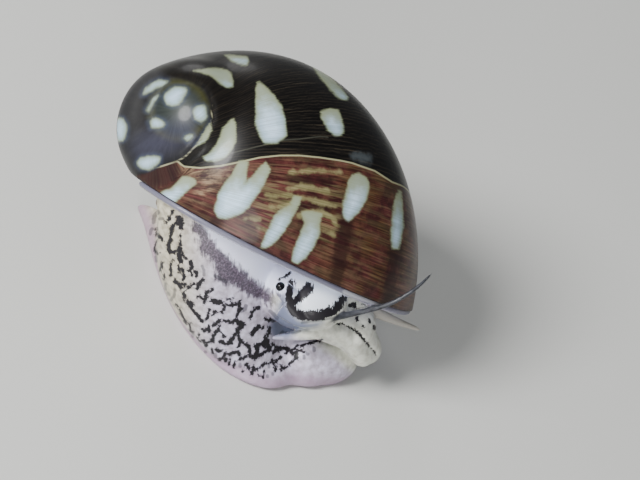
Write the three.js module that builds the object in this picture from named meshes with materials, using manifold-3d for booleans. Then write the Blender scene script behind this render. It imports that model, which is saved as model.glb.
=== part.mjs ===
// Nerite snail, life size, crawling with its shell tipped to its left.
// Millimetres. X forward, Y to the animal's left, Z up, with the sole flat on Z = 0.
import * as THREE from 'three';
import { ConvexGeometry } from 'three/addons/geometries/ConvexGeometry.js';
import { mergeVertices } from 'three/addons/utils/BufferGeometryUtils.js';
import Module from 'manifold-3d';

const wasm = await Module();
wasm.setup();

// Spacing that touching pieces keep
const GAP = 0.3;

// Shell, in its own axes: Z up the coiling axis to the apex, aperture facing -Y
const LIP_RADIUS = 9.65;
const LIP_CENTRE_X = 2.5;
const LIP_CENTRE_Z = -9.0;
const LIP_SQUARENESS = -0.095;
const LIP_SLANT = -0.104;
const LIP_START = 1.77;
const APERTURE_DEPTH = 4.4;
const RATE_NEAR_LIP = 0.36;
const RATE_OLD = 0.1;
const SLOW_TURN = 2.47;
const SLOW_BLEND = 0.45;
const OLD_TURN = 3.3;
const OLD_BLEND = 0.6;
const WHORL_START = -6.8;
const WALL = 0.5;
const RECESS_DEPTH = 1.5;
const MANTLE_PROUD = 0.25;
const SPIRE_RADIUS = 4.2;
const SPIRE_HEIGHT = 3.3;
const CORE_INSET = 0.35;
const CORE_REACH_X = 3.5;
const CORE_CENTRE = [1.6, 0.8, -8.2];
const CORE_HALF = [4.1, 4.5, 8.8];

// Foot outline on the floor, and how the body rises from it
const FOOT_MIDDLE_X = 3.0;
const FOOT_MIDDLE_Y = -0.2;
const FOOT_FRONT = 5.4;
const FOOT_TAIL = 12.6;
const FOOT_SIDE = 5.3;
const TAIL_TAPER = 2.6;
const MARGIN_HEIGHT = 0.35;
const FOOT_HEIGHT = 1.9;
const NECK_INSET = 0.9;
const NECK_SET_BACK = 3.6;
const FRONT_WAIST = 3.4;
const REAR_WAIST = 1.8;
const LEFT_WAIST = 1.6;
const RIGHT_BULGE = 0.5;
const FOOT_TOP = 2.2;
const FOOT_FRONT_X = 3.4;
const FOOT_TAIL_X = -3.8;

// Head and snout, turned to the animal's left
const HEAD_TURN = 22;
const HEAD_CENTRE = [5.9, -2.0, 6.7];
const HEAD_HALF = [2.3, 2.7, 1.8];
const NECK_CENTRE = [4.4, -1.9, 6.0];
const NECK_HALF = [2.6, 2.6, 2.3];
const NECK_BACK_X = 3.0;
const SNOUT_PATH = [[6.0, -1.8, 5.2], [7.6, -0.3, 4.1], [8.7, 1.2, 2.9], [9.1, 2.0, 2.0]];
const SNOUT_WIDTHS = [2.2, 2.2, 1.9, 1.3];
const SNOUT_THICKNESSES = [1.3, 1.3, 1.1, 0.8];
const LOBE_PATH = [[4.6, -4.5, 4.6], [6.5, -3.0, 4.2], [8.3, -0.3, 3.1], [9.4, 1.9, 1.9]];
const LOBE_RADII = [0.5, 0.8, 0.8, 0.7];

// Tentacles: paths of their middles, from the head to the tips
const TENTACLE_RIGHT = [
  [5.0, -3.9, 6.3], [6.9, -3.1, 6.5], [8.1, -1.6, 7.2], [9.3, -0.1, 8.5], [9.9, 1.1, 9.8], [10.0, 2.5, 10.9],
];
const TENTACLE_RIGHT_RADII = [1.0, 0.6, 0.45, 0.38, 0.32, 0.2];
const TENTACLE_LEFT = [[5.9, 0.0, 6.2], [7.4, 1.9, 5.4], [9.0, 3.2, 5.1], [10.6, 4.4, 5.0]];
const TENTACLE_LEFT_RADII = [0.9, 0.55, 0.38, 0.2];

// Eyes, each on the tip of a short stalk at the outer side of its tentacle
const EYE_RADIUS = 0.3;
const EYE_GAP = 0.12;
const EYE_RIGHT = [4.25, -4.9, 7.8];
const EYE_LEFT = [5.8, 2.7, 4.9];
const STALK_RADIUS = 0.5;
const STALK_RIGHT_ROOT = [5.3, -3.7, 6.6];
const STALK_LEFT_ROOT = [5.5, 0.6, 5.6];

// Operculum, a half-moon lid lying on the back of the tail
const LID_LENGTH = 7.0;
const LID_WIDTH = 4.4;
const LID_THICKNESS = 0.5;
const LID_MIDDLE = [-6.3, 0.5, 2.85];
const LID_PITCH = -24;
const LID_ROLL = -20;

// Shell's place on the animal
const APEX = new THREE.Vector3(-6.5, -4.85, 12.6);
const SHELL_YAW = -13.6;
const SHELL_PITCH = -19.6;
const SHELL_ROLL = 64.4;

// Turns a closed geometry into a solid, with its faces outward
function solidOf(geometry) {
  const bare = geometry.clone();
  bare.deleteAttribute('normal');
  bare.deleteAttribute('uv');
  const merged = mergeVertices(bare, 1e-5);
  const points = merged.getAttribute('position').array;
  const faces = Array.from(merged.index.array);
  const a = new THREE.Vector3();
  const b = new THREE.Vector3();
  const c = new THREE.Vector3();
  const kept = [];
  let volume = 0;
  for (let i = 0; i < faces.length; i += 3) {
    const [p, q, r] = faces.slice(i, i + 3);
    if (p === q || q === r || r === p) continue;
    kept.push(p, q, r);
    a.fromArray(points, 3 * p);
    b.fromArray(points, 3 * q);
    c.fromArray(points, 3 * r);
    volume += a.dot(b.cross(c));
  }
  if (volume < 0) kept.reverse();
  const mesh = new wasm.Mesh({ numProp: 3, vertProperties: points, triVerts: new Uint32Array(kept) });
  mesh.merge();
  return new wasm.Manifold(mesh);
}

// Back to a three.js geometry, keeping only the largest closed surface
function geometryOf(solid) {
  let best = null;
  for (const piece of solid.decompose()) {
    if (best === null || piece.volume() > best.volume()) best = piece;
  }
  const mesh = best.getMesh();
  const geometry = new THREE.BufferGeometry();
  geometry.setAttribute('position', new THREE.BufferAttribute(mesh.vertProperties, 3));
  geometry.setIndex(Array.from(mesh.triVerts));
  return geometry;
}

// A closed tube of rings: place(angle, level) gives a point, level runs 0 to 1
function loft(around, along, place) {
  const shape = new THREE.CylinderGeometry(1, 1, 1, around, along);
  const position = shape.getAttribute('position');
  const corner = new THREE.Vector3();
  for (let i = 0; i < position.count; i += 1) {
    corner.fromBufferAttribute(position, i);
    const level = corner.y + 0.5;
    const point = new THREE.Vector3();
    if (Math.hypot(corner.x, corner.z) > 0.5) {
      point.copy(place(Math.atan2(corner.z, corner.x), level));
    } else {
      for (let k = 0; k < around; k += 1) {
        point.addScaledVector(place((2 * Math.PI * k) / around, level), 1 / around);
      }
    }
    position.setXYZ(i, point.x, point.y, point.z);
  }
  return shape;
}

// How large a whorl is at a turn, 1 at the lip
function growth(turn) {
  const bend = (value) => Math.log(1 + Math.exp(value));
  const late = bend((turn + SLOW_TURN) / SLOW_BLEND) - bend(SLOW_TURN / SLOW_BLEND);
  return Math.exp(RATE_OLD * turn + (RATE_NEAR_LIP - RATE_OLD) * SLOW_BLEND * late);
}

// A point on the whorl: turn 0 is the lip, angle runs round the section from the suture
function whorl(turn, angle, inset) {
  const old = 1 / (1 + Math.exp((turn + OLD_TURN) / OLD_BLEND));
  const size = growth(turn);
  const round = LIP_START - 0.75 * old - angle;
  const shape = 1 + (1 - old) * (LIP_SQUARENESS * Math.cos(2 * round) + LIP_SLANT * Math.sin(2 * round));
  const radius = size * LIP_RADIUS * (1 + 0.045 * old) * shape - inset;
  const centreX = size * (LIP_CENTRE_X - 0.73 * old);
  const centreZ = size * LIP_CENTRE_Z * (1 - 0.9 * old);
  const x = Math.max(0, centreX + radius * Math.cos(round));
  const y = -size * APERTURE_DEPTH * (1 + 1.4 * old);
  const z = centreZ + radius * Math.sin(round);
  const cos = Math.cos(-turn);
  const sin = Math.sin(-turn);
  return new THREE.Vector3(cos * x - sin * y, sin * x + cos * y, z);
}

// The swept body of the whorl between two turns
function whorlSolid(from, to, inset, pieces, steps) {
  let solid = null;
  for (let k = 0; k < pieces; k += 1) {
    const start = from + ((to - from) * k) / pieces;
    const end = from + ((to - from) * (k + 1)) / pieces;
    const wedge = solidOf(loft(40, steps, (angle, level) => whorl(start + (end - start) * level, angle, inset)));
    solid = solid === null ? wedge : solid.add(wedge);
  }
  return solid;
}

// A ball stretched to three half sizes
function ellipsoid(centre, half, around) {
  const ball = new THREE.SphereGeometry(1, around, Math.round(around / 2));
  ball.scale(...half);
  ball.translate(...centre);
  return ball;
}

// A box by its lowest and highest corners
function boxBetween(low, high) {
  const box = new THREE.BoxGeometry(high[0] - low[0], high[1] - low[1], high[2] - low[2]);
  box.translate((low[0] + high[0]) / 2, (low[1] + high[1]) / 2, (low[2] + high[2]) / 2);
  return solidOf(box);
}

// A large block that keeps what lies on one side of a plane y = value in the shell's axes
function blockBehind(value) {
  const size = 80;
  const block = new THREE.BoxGeometry(size, size, size);
  block.translate(0, value + size / 2, 0);
  return solidOf(block);
}

// The closed side of the shell, where the older whorl runs into the columella: one rounded wall
function columellaSolid() {
  const points = [];
  for (let turn = WHORL_START + 0.4; turn < 0; turn += 0.12) {
    for (let angle = 0; angle < 2 * Math.PI; angle += Math.PI / 16) {
      const point = whorl(turn, angle, CORE_INSET);
      const nearAxis = Math.abs(point.x) < CORE_REACH_X && point.y < 2.2;
      const older = turn < -2.4 && point.z < -0.5;
      if (point.z < 0.5 && (older || (turn > -0.9 && nearAxis))) points.push(point);
    }
  }
  const bulge = ellipsoid(CORE_CENTRE, CORE_HALF, 24).getAttribute('position');
  for (let i = 0; i < bulge.count; i += 1) points.push(new THREE.Vector3().fromBufferAttribute(bulge, i));
  return solidOf(new ConvexGeometry(points)).intersect(blockBehind(-APERTURE_DEPTH));
}

const spire = solidOf(ellipsoid([0, 0, 0], [SPIRE_RADIUS, SPIRE_RADIUS, SPIRE_HEIGHT], 28));
const closedShell = whorlSolid(WHORL_START, 0, 0, 4, 9).add(spire).add(columellaSolid());

// What fills the last whorl just inside the lip, drawn in from the shell's outside
function lipFilling(inset, inward, outward) {
  const prism = loft(40, 1, (angle, level) => {
    const rim = whorl(0, angle, inset);
    return rim.setY(rim.y - 2 * level);
  });
  const inside = whorlSolid(-0.5, 0, inset, 3, 3).add(solidOf(prism));
  const low = [inset - WALL, -APERTURE_DEPTH - outward, -30];
  return inside.intersect(boxBetween(low, [20, -APERTURE_DEPTH + inward, 10]));
}

const shellSolid = closedShell.subtract(lipFilling(WALL, RECESS_DEPTH, 1));
const mantleSolid = lipFilling(WALL + GAP, RECESS_DEPTH - GAP, MANTLE_PROUD);

// Shell axes to the animal's axes
const degrees = THREE.MathUtils.degToRad;
const seat = new THREE.Matrix4().makeRotationFromEuler(
  new THREE.Euler(degrees(SHELL_ROLL), degrees(SHELL_PITCH), degrees(SHELL_YAW), 'ZYX'),
);
seat.setPosition(APEX);

// What lies below the shell's rim, with a gap to the mantle
const belowLip = boxBetween([-40, -60, -60], [40, -APERTURE_DEPTH - MANTLE_PROUD - GAP, 40])
  .transform(seat.elements);

// Outline of the sole at an angle round the foot: 0 in front, a quarter turn to the left
function soleEdge(angle) {
  const cos = Math.cos(angle);
  const sin = Math.sin(angle);
  const length = cos > 0 ? FOOT_FRONT : FOOT_TAIL;
  const width = cos > 0 ? Math.abs(sin) : Math.abs(sin) ** TAIL_TAPER;
  return new THREE.Vector3(FOOT_MIDDLE_X + length * cos, FOOT_MIDDLE_Y + FOOT_SIDE * Math.sign(sin) * width, 0);
}

// Where the body enters the shell: the lip drawn in a little, closed by the columella
function neckEdge(angle) {
  const ring = whorl(0, LIP_START + angle, NECK_INSET);
  const edge = new THREE.Vector3(Math.max(NECK_INSET, ring.x), ring.y, ring.z);
  return edge.applyMatrix4(seat);
}

// The body column from the sole (level 0) to the aperture (level 1)
function columnSurface(angle, level) {
  const sole = soleEdge(angle).lerp(new THREE.Vector3(FOOT_MIDDLE_X - 2, FOOT_MIDDLE_Y, 0), 0.04);
  const neck = neckEdge(angle);
  const point = sole.clone().lerp(neck, level);
  const cos = Math.cos(angle);
  const sin = Math.sin(angle);
  const waist = Math.sin(Math.PI * level ** 0.7);
  const front = Math.max(cos, 0) ** 1.5 * FRONT_WAIST;
  const rear = Math.max(-cos, 0) ** 1.5 * REAR_WAIST;
  const side = sin > 0 ? sin * LEFT_WAIST : sin * RIGHT_BULGE;
  const pull = waist * (front + rear + side) + NECK_SET_BACK * Math.max(cos, 0) * level ** 2;
  return new THREE.Vector3(point.x - pull * cos, point.y - pull * sin, point.z + MARGIN_HEIGHT * (1 - level));
}

// The foot: a flat sole, a thin edge and a low rounded back
function footSurface(angle, level) {
  const edge = soleEdge(angle);
  const middle = new THREE.Vector3(FOOT_MIDDLE_X - 3.5, FOOT_MIDDLE_Y, 0);
  if (level < 0.05) return edge.lerp(middle, 0.04);
  const rise = (level - 0.1) / 0.9;
  const height = MARGIN_HEIGHT + (FOOT_HEIGHT - MARGIN_HEIGHT) * Math.sin((Math.PI / 2) * rise);
  return edge.lerp(middle, 1 - Math.cos((Math.PI / 2) * rise * 0.9) ** 0.8).setZ(height);
}

// A tapering tube along a path, with its own half width and half thickness at each path point
function taperedTube(path, widths, thicknesses, around, along) {
  const curve = new THREE.CatmullRomCurve3(path.map((point) => new THREE.Vector3(...point)));
  const up = new THREE.Vector3(0, 0, 1);
  const sizeAt = (sizes, level) => {
    const place = Math.min(level, 0.9999) * (sizes.length - 1);
    const k = Math.floor(place);
    return sizes[k] + (sizes[k + 1] - sizes[k]) * (place - k);
  };
  return loft(around, along, (angle, level) => {
    const heading = curve.getTangent(level);
    const across = new THREE.Vector3().crossVectors(heading, up).normalize();
    const above = new THREE.Vector3().crossVectors(across, heading);
    const round = Math.sqrt(1 - Math.max(0, (level - 0.88) / 0.121) ** 2);
    const point = curve.getPoint(level);
    point.addScaledVector(across, Math.cos(angle) * sizeAt(widths, level) * round);
    return point.addScaledVector(above, Math.sin(angle) * sizeAt(thicknesses, level) * round);
  });
}

// A ball stretched along the head's own heading
function headBall(centre, half, around) {
  const ball = ellipsoid([0, 0, 0], half, around);
  ball.rotateZ(degrees(HEAD_TURN));
  ball.translate(...centre);
  return solidOf(ball);
}

const grown = (sizes, by) => sizes.map((size) => size + by);

// The head with all that grows from it, swollen by a little where it cuts its seat in the body
function headSolid(swell) {
  const tube = (path, radii, around, along) => solidOf(
    taperedTube(path, grown(radii, swell), grown(radii, swell), around, along),
  );
  const balls = headBall(NECK_CENTRE, grown(NECK_HALF, swell), 24)
    .add(headBall(HEAD_CENTRE, grown(HEAD_HALF, swell), 28))
    .intersect(boxBetween([NECK_BACK_X - swell, -20, 0], [20, 20, 20]))
    .intersect(belowLip.translate([0, 0, 2 * swell]));
  const snout = taperedTube(SNOUT_PATH, grown(SNOUT_WIDTHS, swell), grown(SNOUT_THICKNESSES, swell), 20, 12);
  return balls
    .add(solidOf(snout))
    .add(tube(LOBE_PATH, LOBE_RADII, 14, 12))
    .add(tube(TENTACLE_RIGHT, TENTACLE_RIGHT_RADII, 12, 16))
    .add(tube(TENTACLE_LEFT, TENTACLE_LEFT_RADII, 12, 12))
    .add(tube([STALK_RIGHT_ROOT, EYE_RIGHT], [STALK_RADIUS * 1.4, STALK_RADIUS], 12, 4))
    .add(tube([STALK_LEFT_ROOT, EYE_LEFT], [STALK_RADIUS * 1.4, STALK_RADIUS], 12, 4));
}

// The point at a share of the way along a path
function pointOn(path, share) {
  const curve = new THREE.CatmullRomCurve3(path.map((point) => new THREE.Vector3(...point)));
  return curve.getPoint(share).toArray();
}

// A thin round plate that parts a piece across its path, at a share of the way along
function partingPlate(path, share, radius) {
  const curve = new THREE.CatmullRomCurve3(path.map((point) => new THREE.Vector3(...point)));
  const plate = new THREE.CylinderGeometry(radius, radius, GAP, 24);
  plate.applyQuaternion(new THREE.Quaternion().setFromUnitVectors(
    new THREE.Vector3(0, 1, 0),
    curve.getTangent(share),
  ));
  const middle = curve.getPoint(share);
  plate.translate(middle.x, middle.y, middle.z);
  return solidOf(plate);
}

// The half-moon lid, swollen by a little where it cuts its seat
function lidSolid(swell) {
  const outline = new THREE.Shape();
  outline.absellipse(0, 0, LID_WIDTH + swell, LID_LENGTH / 2 + swell, -Math.PI / 2, Math.PI / 2, false, 0);
  outline.lineTo(-swell, LID_LENGTH / 2 + swell);
  outline.lineTo(-swell, -LID_LENGTH / 2 - swell);
  const lid = new THREE.ExtrudeGeometry(outline, {
    depth: LID_THICKNESS + 2 * swell, bevelEnabled: false, curveSegments: 20,
  });
  lid.translate(-LID_WIDTH / 2, 0, -LID_THICKNESS / 2 - swell);
  lid.rotateZ(Math.PI);
  lid.rotateY(degrees(LID_PITCH));
  lid.rotateX(degrees(LID_ROLL));
  lid.translate(...LID_MIDDLE);
  return solidOf(lid);
}

// The closed piece of a parted solid that holds a point
function pieceAt(solid, point) {
  const probe = solidOf(ellipsoid(point, [0.1, 0.1, 0.1], 8));
  return solid.decompose().find((piece) => piece.intersect(probe).volume() > 0);
}

const eyeBall = (centre, swell) => solidOf(ellipsoid(centre, grown([EYE_RADIUS, EYE_RADIUS, EYE_RADIUS], swell), 16));
const eyeSeats = (swell) => eyeBall(EYE_RIGHT, swell).add(eyeBall(EYE_LEFT, swell));

const head = headSolid(0)
  .subtract(eyeSeats(EYE_GAP))
  .subtract(partingPlate(TENTACLE_RIGHT, 0.46, 1.1))
  .subtract(partingPlate(TENTACLE_RIGHT, 0.64, 1.0))
  .subtract(partingPlate(TENTACLE_RIGHT, 0.82, 1.0))
  .subtract(partingPlate(TENTACLE_LEFT, 0.34, 1.0))
  .subtract(partingPlate(TENTACLE_LEFT, 0.68, 1.0))
  .subtract(partingPlate([STALK_RIGHT_ROOT, EYE_RIGHT], 0.6, 0.9))
  .subtract(partingPlate([STALK_LEFT_ROOT, EYE_LEFT], 0.6, 0.9))
  .subtract(partingPlate(SNOUT_PATH, 0.36, 2.9));

const body = solidOf(loft(48, 12, columnSurface))
  .add(solidOf(loft(48, 8, footSurface)))
  .intersect(belowLip)
  .subtract(headSolid(GAP))
  .subtract(eyeSeats(GAP))
  .subtract(lidSolid(GAP))
  .subtract(boxBetween([-15, -12, FOOT_TOP], [10, 12, FOOT_TOP + GAP]))
  .subtract(boxBetween([FOOT_FRONT_X, -12, -1], [FOOT_FRONT_X + GAP, 12, FOOT_TOP + 0.1]))
  .subtract(boxBetween([FOOT_TAIL_X, -12, -1], [FOOT_TAIL_X + GAP, 12, FOOT_TOP + 0.1]));

const group = new THREE.Group();
function addNode(name, solid, color, roughness) {
  const mesh = new THREE.Mesh(geometryOf(solid), new THREE.MeshStandardMaterial({ color, roughness }));
  mesh.name = name;
  group.add(mesh);
}
const SKIN = 0xd8d6cf;
addNode('shell', shellSolid.transform(seat.elements), 0x4a2b22, 0.25);
addNode('operculum', lidSolid(0), 0x6b5a4e, 0.5);
addNode('mantle', mantleSolid.transform(seat.elements).subtract(headSolid(GAP)), 0xc9ced8, 0.4);
addNode('foot_front', pieceAt(body, [5.5, 0, 0.6]), SKIN, 0.4);
addNode('foot_middle', pieceAt(body, [0, 0, 0.6]), SKIN, 0.4);
addNode('foot_tail', pieceAt(body, [-6, 0, 0.6]), SKIN, 0.4);
addNode('body_column', pieceAt(body, [0, -1, 5]), SKIN, 0.4);
addNode('head', pieceAt(head, NECK_CENTRE), SKIN, 0.4);
addNode('snout', pieceAt(head, pointOn(SNOUT_PATH, 0.7)), SKIN, 0.4);
addNode('tentacle_right_base', pieceAt(head, pointOn(TENTACLE_RIGHT, 0.55)), 0x8f8f96, 0.4);
addNode('tentacle_right_middle', pieceAt(head, pointOn(TENTACLE_RIGHT, 0.73)), 0x8f8f96, 0.4);
addNode('tentacle_right_tip', pieceAt(head, pointOn(TENTACLE_RIGHT, 0.88)), 0x8f8f96, 0.4);
addNode('tentacle_left_base', pieceAt(head, pointOn(TENTACLE_LEFT, 0.5)), 0x8f8f96, 0.4);
addNode('tentacle_left_tip', pieceAt(head, pointOn(TENTACLE_LEFT, 0.8)), 0x8f8f96, 0.4);
addNode('eye_stalk_right', pieceAt(head, pointOn([STALK_RIGHT_ROOT, EYE_RIGHT], 0.72)), 0xb9bcc4, 0.4);
addNode('eye_stalk_left', pieceAt(head, pointOn([STALK_LEFT_ROOT, EYE_LEFT], 0.72)), 0xb9bcc4, 0.4);
addNode('eye_right', eyeBall(EYE_RIGHT, 0), 0x0a0a0c, 0.15);
addNode('eye_left', eyeBall(EYE_LEFT, 0), 0x0a0a0c, 0.15);
export default group;
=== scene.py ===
# A nerite snail crawling with its shell tipped to its left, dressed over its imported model.
# Every mesh is in metres in the model's own frame: X forward, Y to the animal's left, Z up.
import math
import random

import bmesh
import bpy
import numpy as np
from mathutils import Euler, Matrix, Vector
from mathutils.bvhtree import BVHTree


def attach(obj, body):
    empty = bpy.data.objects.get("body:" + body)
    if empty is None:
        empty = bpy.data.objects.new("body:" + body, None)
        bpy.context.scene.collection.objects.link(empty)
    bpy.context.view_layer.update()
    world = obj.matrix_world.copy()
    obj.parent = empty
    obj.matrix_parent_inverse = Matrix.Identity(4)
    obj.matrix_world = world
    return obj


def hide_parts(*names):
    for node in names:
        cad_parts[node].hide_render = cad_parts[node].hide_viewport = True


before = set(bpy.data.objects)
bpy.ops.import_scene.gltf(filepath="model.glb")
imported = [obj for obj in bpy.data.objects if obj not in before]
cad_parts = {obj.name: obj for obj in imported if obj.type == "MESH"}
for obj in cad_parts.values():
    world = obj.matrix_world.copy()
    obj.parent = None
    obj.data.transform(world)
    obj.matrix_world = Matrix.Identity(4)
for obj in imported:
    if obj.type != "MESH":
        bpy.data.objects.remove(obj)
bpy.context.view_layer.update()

# Camera
# A long lens looks down on the snail's right side from ahead of it, rolled as the picture is.
# It stands first because the marks of shell and skin are set out on its picture.
MM = 0.001
CAMERA_AT = Vector((57.19, -133.72, 121.5)) * MM
CAMERA_RIGHT = Vector((0.71024, 0.59903, 0.36975))
CAMERA_UP = Vector((-0.63912, 0.32853, 0.69541))
CAMERA_LENS = 162.0
SENSOR_WIDTH = 36.0
PICTURE_WIDTH = 640
PICTURE_HEIGHT = 480
PIXELS_PER_MM = 16.0

camera_data = bpy.data.cameras.new("camera")
camera_data.lens = CAMERA_LENS
camera_data.sensor_width = SENSOR_WIDTH
camera_data.clip_start = 0.01
camera_data.clip_end = 10.0
camera = bpy.data.objects.new("camera", camera_data)
camera_turn = Matrix((CAMERA_RIGHT, CAMERA_UP, CAMERA_RIGHT.cross(CAMERA_UP))).transposed()
camera.matrix_world = Matrix.Translation(CAMERA_AT) @ camera_turn.to_4x4()
bpy.context.scene.collection.objects.link(camera)
bpy.context.scene.camera = camera


def picture_place(points):
    """Where points in metres fall in the picture, in its pixels, from its top left corner."""
    seen = (np.asarray(points) - np.array(CAMERA_AT)) @ np.array(camera_turn)
    reach = CAMERA_LENS / SENSOR_WIDTH * PICTURE_WIDTH / -seen[:, 2]
    across = PICTURE_WIDTH / 2 + seen[:, 0] * reach
    down = PICTURE_HEIGHT / 2 - seen[:, 1] * reach
    return np.stack([across, down], axis=1)


# Shell
# One right-handed whorl that grows fast over a low round spire, smooth and wet. It is a hard
# limy wall under a thin brown skin, laid down line by line at the lip.
LIP_RADIUS = 9.65
LIP_CENTRE_X = 2.5
LIP_CENTRE_Z = -9.0
LIP_SQUARENESS = -0.095
LIP_SLANT = -0.104
LIP_START = 1.77
APERTURE_DEPTH = 4.4
RATE_NEAR_LIP = 0.36
RATE_OLD = 0.1
SLOW_TURN = 2.47
SLOW_BLEND = 0.45
LATE_AT_LIP = math.log1p(math.exp(SLOW_TURN / SLOW_BLEND))
OLD_TURN = 3.3
OLD_BLEND = 0.6
# the older part set against the lip: it stands further out, is turned and fuller, and lies closer in
OLD_STAND_OFF = 1.4
OLD_TURNED = 0.75
OLD_SWELL = 0.045
OLD_SHIFT = 0.73
OLD_LIFT = 0.9
WHORL_START = -6.8
WHORL_END = 0.35
APEX = Vector((-6.5, -4.85, 12.6))
SHELL_ROLL = math.radians(64.4)
SHELL_PITCH = math.radians(-19.6)
SHELL_YAW = math.radians(-13.6)
SHELL_TURN = Euler((SHELL_ROLL, SHELL_PITCH, SHELL_YAW)).to_matrix()
SHELL_SEAT = Matrix.Translation(APEX) @ SHELL_TURN.to_4x4()
TO_METRES = Matrix.Diagonal((MM, MM, MM, 1))
SPIRE_RADIUS = 4.2
SPIRE_HEIGHT = 3.3
CORE_CENTRE = (1.6, 0.8, -8.2)
CORE_HALF = (4.1, 4.5, 8.8)
CORE_INSET = 0.35
CORE_REACH = 3.5
FORM_CENTRE = (3.0, -1.0, -6.5)
FORM_SMOOTHING = 30
FORM_SCALE = 0.998
WALL = 0.5
LIP_EDGE = 0.2
RECESS_DEPTH = 1.5


def growth(turn):
    """How large the whorl is at a turn, or at many turns, set against its size at the lip."""
    late = np.log1p(np.exp((turn + SLOW_TURN) / SLOW_BLEND)) - LATE_AT_LIP
    return np.exp(RATE_OLD * turn + (RATE_NEAR_LIP - RATE_OLD) * SLOW_BLEND * late)


def oldness(turn):
    """How far a turn belongs to the older part, which is rounder and stands further out: 0 to 1."""
    return 1 / (1 + np.exp((turn + OLD_TURN) / OLD_BLEND))


def hinge(turn):
    """How far the whorl's section stands off the coiling axis, in mm."""
    return growth(turn) * APERTURE_DEPTH * (1 + OLD_STAND_OFF * oldness(turn))


def whorl(turn, angle, inset=0.0):
    """A point on the whorl in the shell's own axes, in mm: turn 0 is the lip."""
    old = oldness(turn)
    size = growth(turn)
    around = LIP_START - OLD_TURNED * old - angle
    uneven = LIP_SQUARENESS * math.cos(2 * around) + LIP_SLANT * math.sin(2 * around)
    radius = size * LIP_RADIUS * (1 + OLD_SWELL * old) * (1 + (1 - old) * uneven) - inset
    x = max(inset, size * (LIP_CENTRE_X - OLD_SHIFT * old) + radius * math.cos(around))
    z = size * LIP_CENTRE_Z * (1 - OLD_LIFT * old) + radius * math.sin(around)
    return Matrix.Rotation(-turn, 3, "Z") @ Vector((x, -hinge(turn), z))


# the rough form: the swept whorl, the spire and the wall that closes the older side
rough = bmesh.new()
sweep = bmesh.ops.create_grid(rough, x_segments=260, y_segments=140, size=0.5)["verts"]
for vert in sweep:
    along, round_it = vert.co.x + 0.5, vert.co.y + 0.5
    vert.co = whorl(WHORL_START + (WHORL_END - WHORL_START) * along, 2 * math.pi * round_it)
spire = bmesh.ops.create_uvsphere(rough, u_segments=64, v_segments=32, radius=1)["verts"]
bmesh.ops.scale(rough, vec=(SPIRE_RADIUS, SPIRE_RADIUS, SPIRE_HEIGHT), verts=spire)
core = bmesh.ops.create_uvsphere(rough, u_segments=24, v_segments=16, radius=1)["verts"]
bmesh.ops.scale(rough, vec=CORE_HALF, verts=core)
bmesh.ops.translate(rough, vec=CORE_CENTRE, verts=core)
turn = WHORL_START + 0.4
while turn < 0:
    for step in range(32):
        point = whorl(turn, step * math.pi / 16, CORE_INSET)
        near_axis = abs(point.x) < CORE_REACH and point.y < 2.2
        if point.z < 0.5 and ((turn < -2.4 and point.z < -0.5) or (turn > -0.9 and near_axis)):
            core.append(bmesh.ops.create_vert(rough, co=point)["vert"][0])
    turn += 0.12
bmesh.ops.convex_hull(rough, input=core)
rough_tree = BVHTree.FromBMesh(rough)
rough.free()

# the shell's closed form, thrown on the rough one from far outside and then evened out
form = bmesh.new()
bmesh.ops.create_icosphere(form, subdivisions=7, radius=1)
centre = Vector(FORM_CENTRE)
for vert in form.verts:
    way = vert.co.normalized()
    hit = rough_tree.ray_cast(centre + way * 60, -way)[0]
    vert.co = centre + (hit - centre) * FORM_SCALE
ALL_WAYS = {"use_axis_x": True, "use_axis_y": True, "use_axis_z": True}
for step in range(FORM_SMOOTHING):
    bmesh.ops.smooth_vert(form, verts=form.verts, factor=0.5, **ALL_WAYS)
cut = bmesh.ops.bisect_plane(
    form,
    geom=form.verts[:] + form.edges[:] + form.faces[:],
    plane_co=(0, -APERTURE_DEPTH, 0),
    plane_no=(0, -1, 0),
    clear_outer=True,
)
rim = [edge for edge in cut["geom_cut"] if isinstance(edge, bmesh.types.BMEdge)]
bmesh.ops.contextual_create(form, geom=rim)
bmesh.ops.triangulate(form, faces=[face for face in form.faces if len(face.verts) > 4])
bmesh.ops.transform(form, matrix=TO_METRES @ SHELL_SEAT, verts=form.verts)
bmesh.ops.recalc_face_normals(form, faces=form.faces)


def placed(form, name):
    """A new object at the origin with a form's mesh; the form is freed."""
    mesh = bpy.data.meshes.new(name)
    form.to_mesh(mesh)
    form.free()
    made = bpy.data.objects.new(name, mesh)
    bpy.context.scene.collection.objects.link(made)
    return made


shell_form = placed(form, "shell_form")


def inside_lip(angle, inset, depth):
    """A point so deep inside the lip and so far in from the whorl's outside there, in mm."""
    last = point = whorl(0, angle, inset)
    turn, level = 0.0, depth - APERTURE_DEPTH
    while point.y < level:
        turn -= 0.02
        last, point = point, whorl(turn, angle, inset)
    if depth <= 0:
        return point + Vector((0, depth, 0))
    return last.lerp(point, (level - last.y) / (point.y - last.y))


# what is hollowed out inside the lip, with the wall thinning to the edge
hollow = bmesh.new()
bmesh.ops.create_cone(
    hollow, cap_ends=True, cap_tris=False, segments=200, radius1=1, radius2=1, depth=1,
)
for level in (-0.1, 0.2):
    whole = hollow.verts[:] + hollow.edges[:] + hollow.faces[:]
    bmesh.ops.bisect_plane(hollow, geom=whole, plane_co=(0, 0, level), plane_no=(0, 0, 1))
for vert in hollow.verts:
    if vert.co.z < -0.3:
        depth, inset = -1.0, LIP_EDGE
    elif vert.co.z < 0:
        depth, inset = 0.02, LIP_EDGE
    elif vert.co.z < 0.3:
        depth, inset = 0.4, WALL
    else:
        depth, inset = RECESS_DEPTH, WALL
    vert.co = inside_lip(math.atan2(vert.co.y, vert.co.x), inset, depth)
bmesh.ops.transform(hollow, matrix=TO_METRES @ SHELL_SEAT, verts=hollow.verts)
bmesh.ops.recalc_face_normals(hollow, faces=hollow.faces)
hollow_form = placed(hollow, "lip_hollow")
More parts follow.
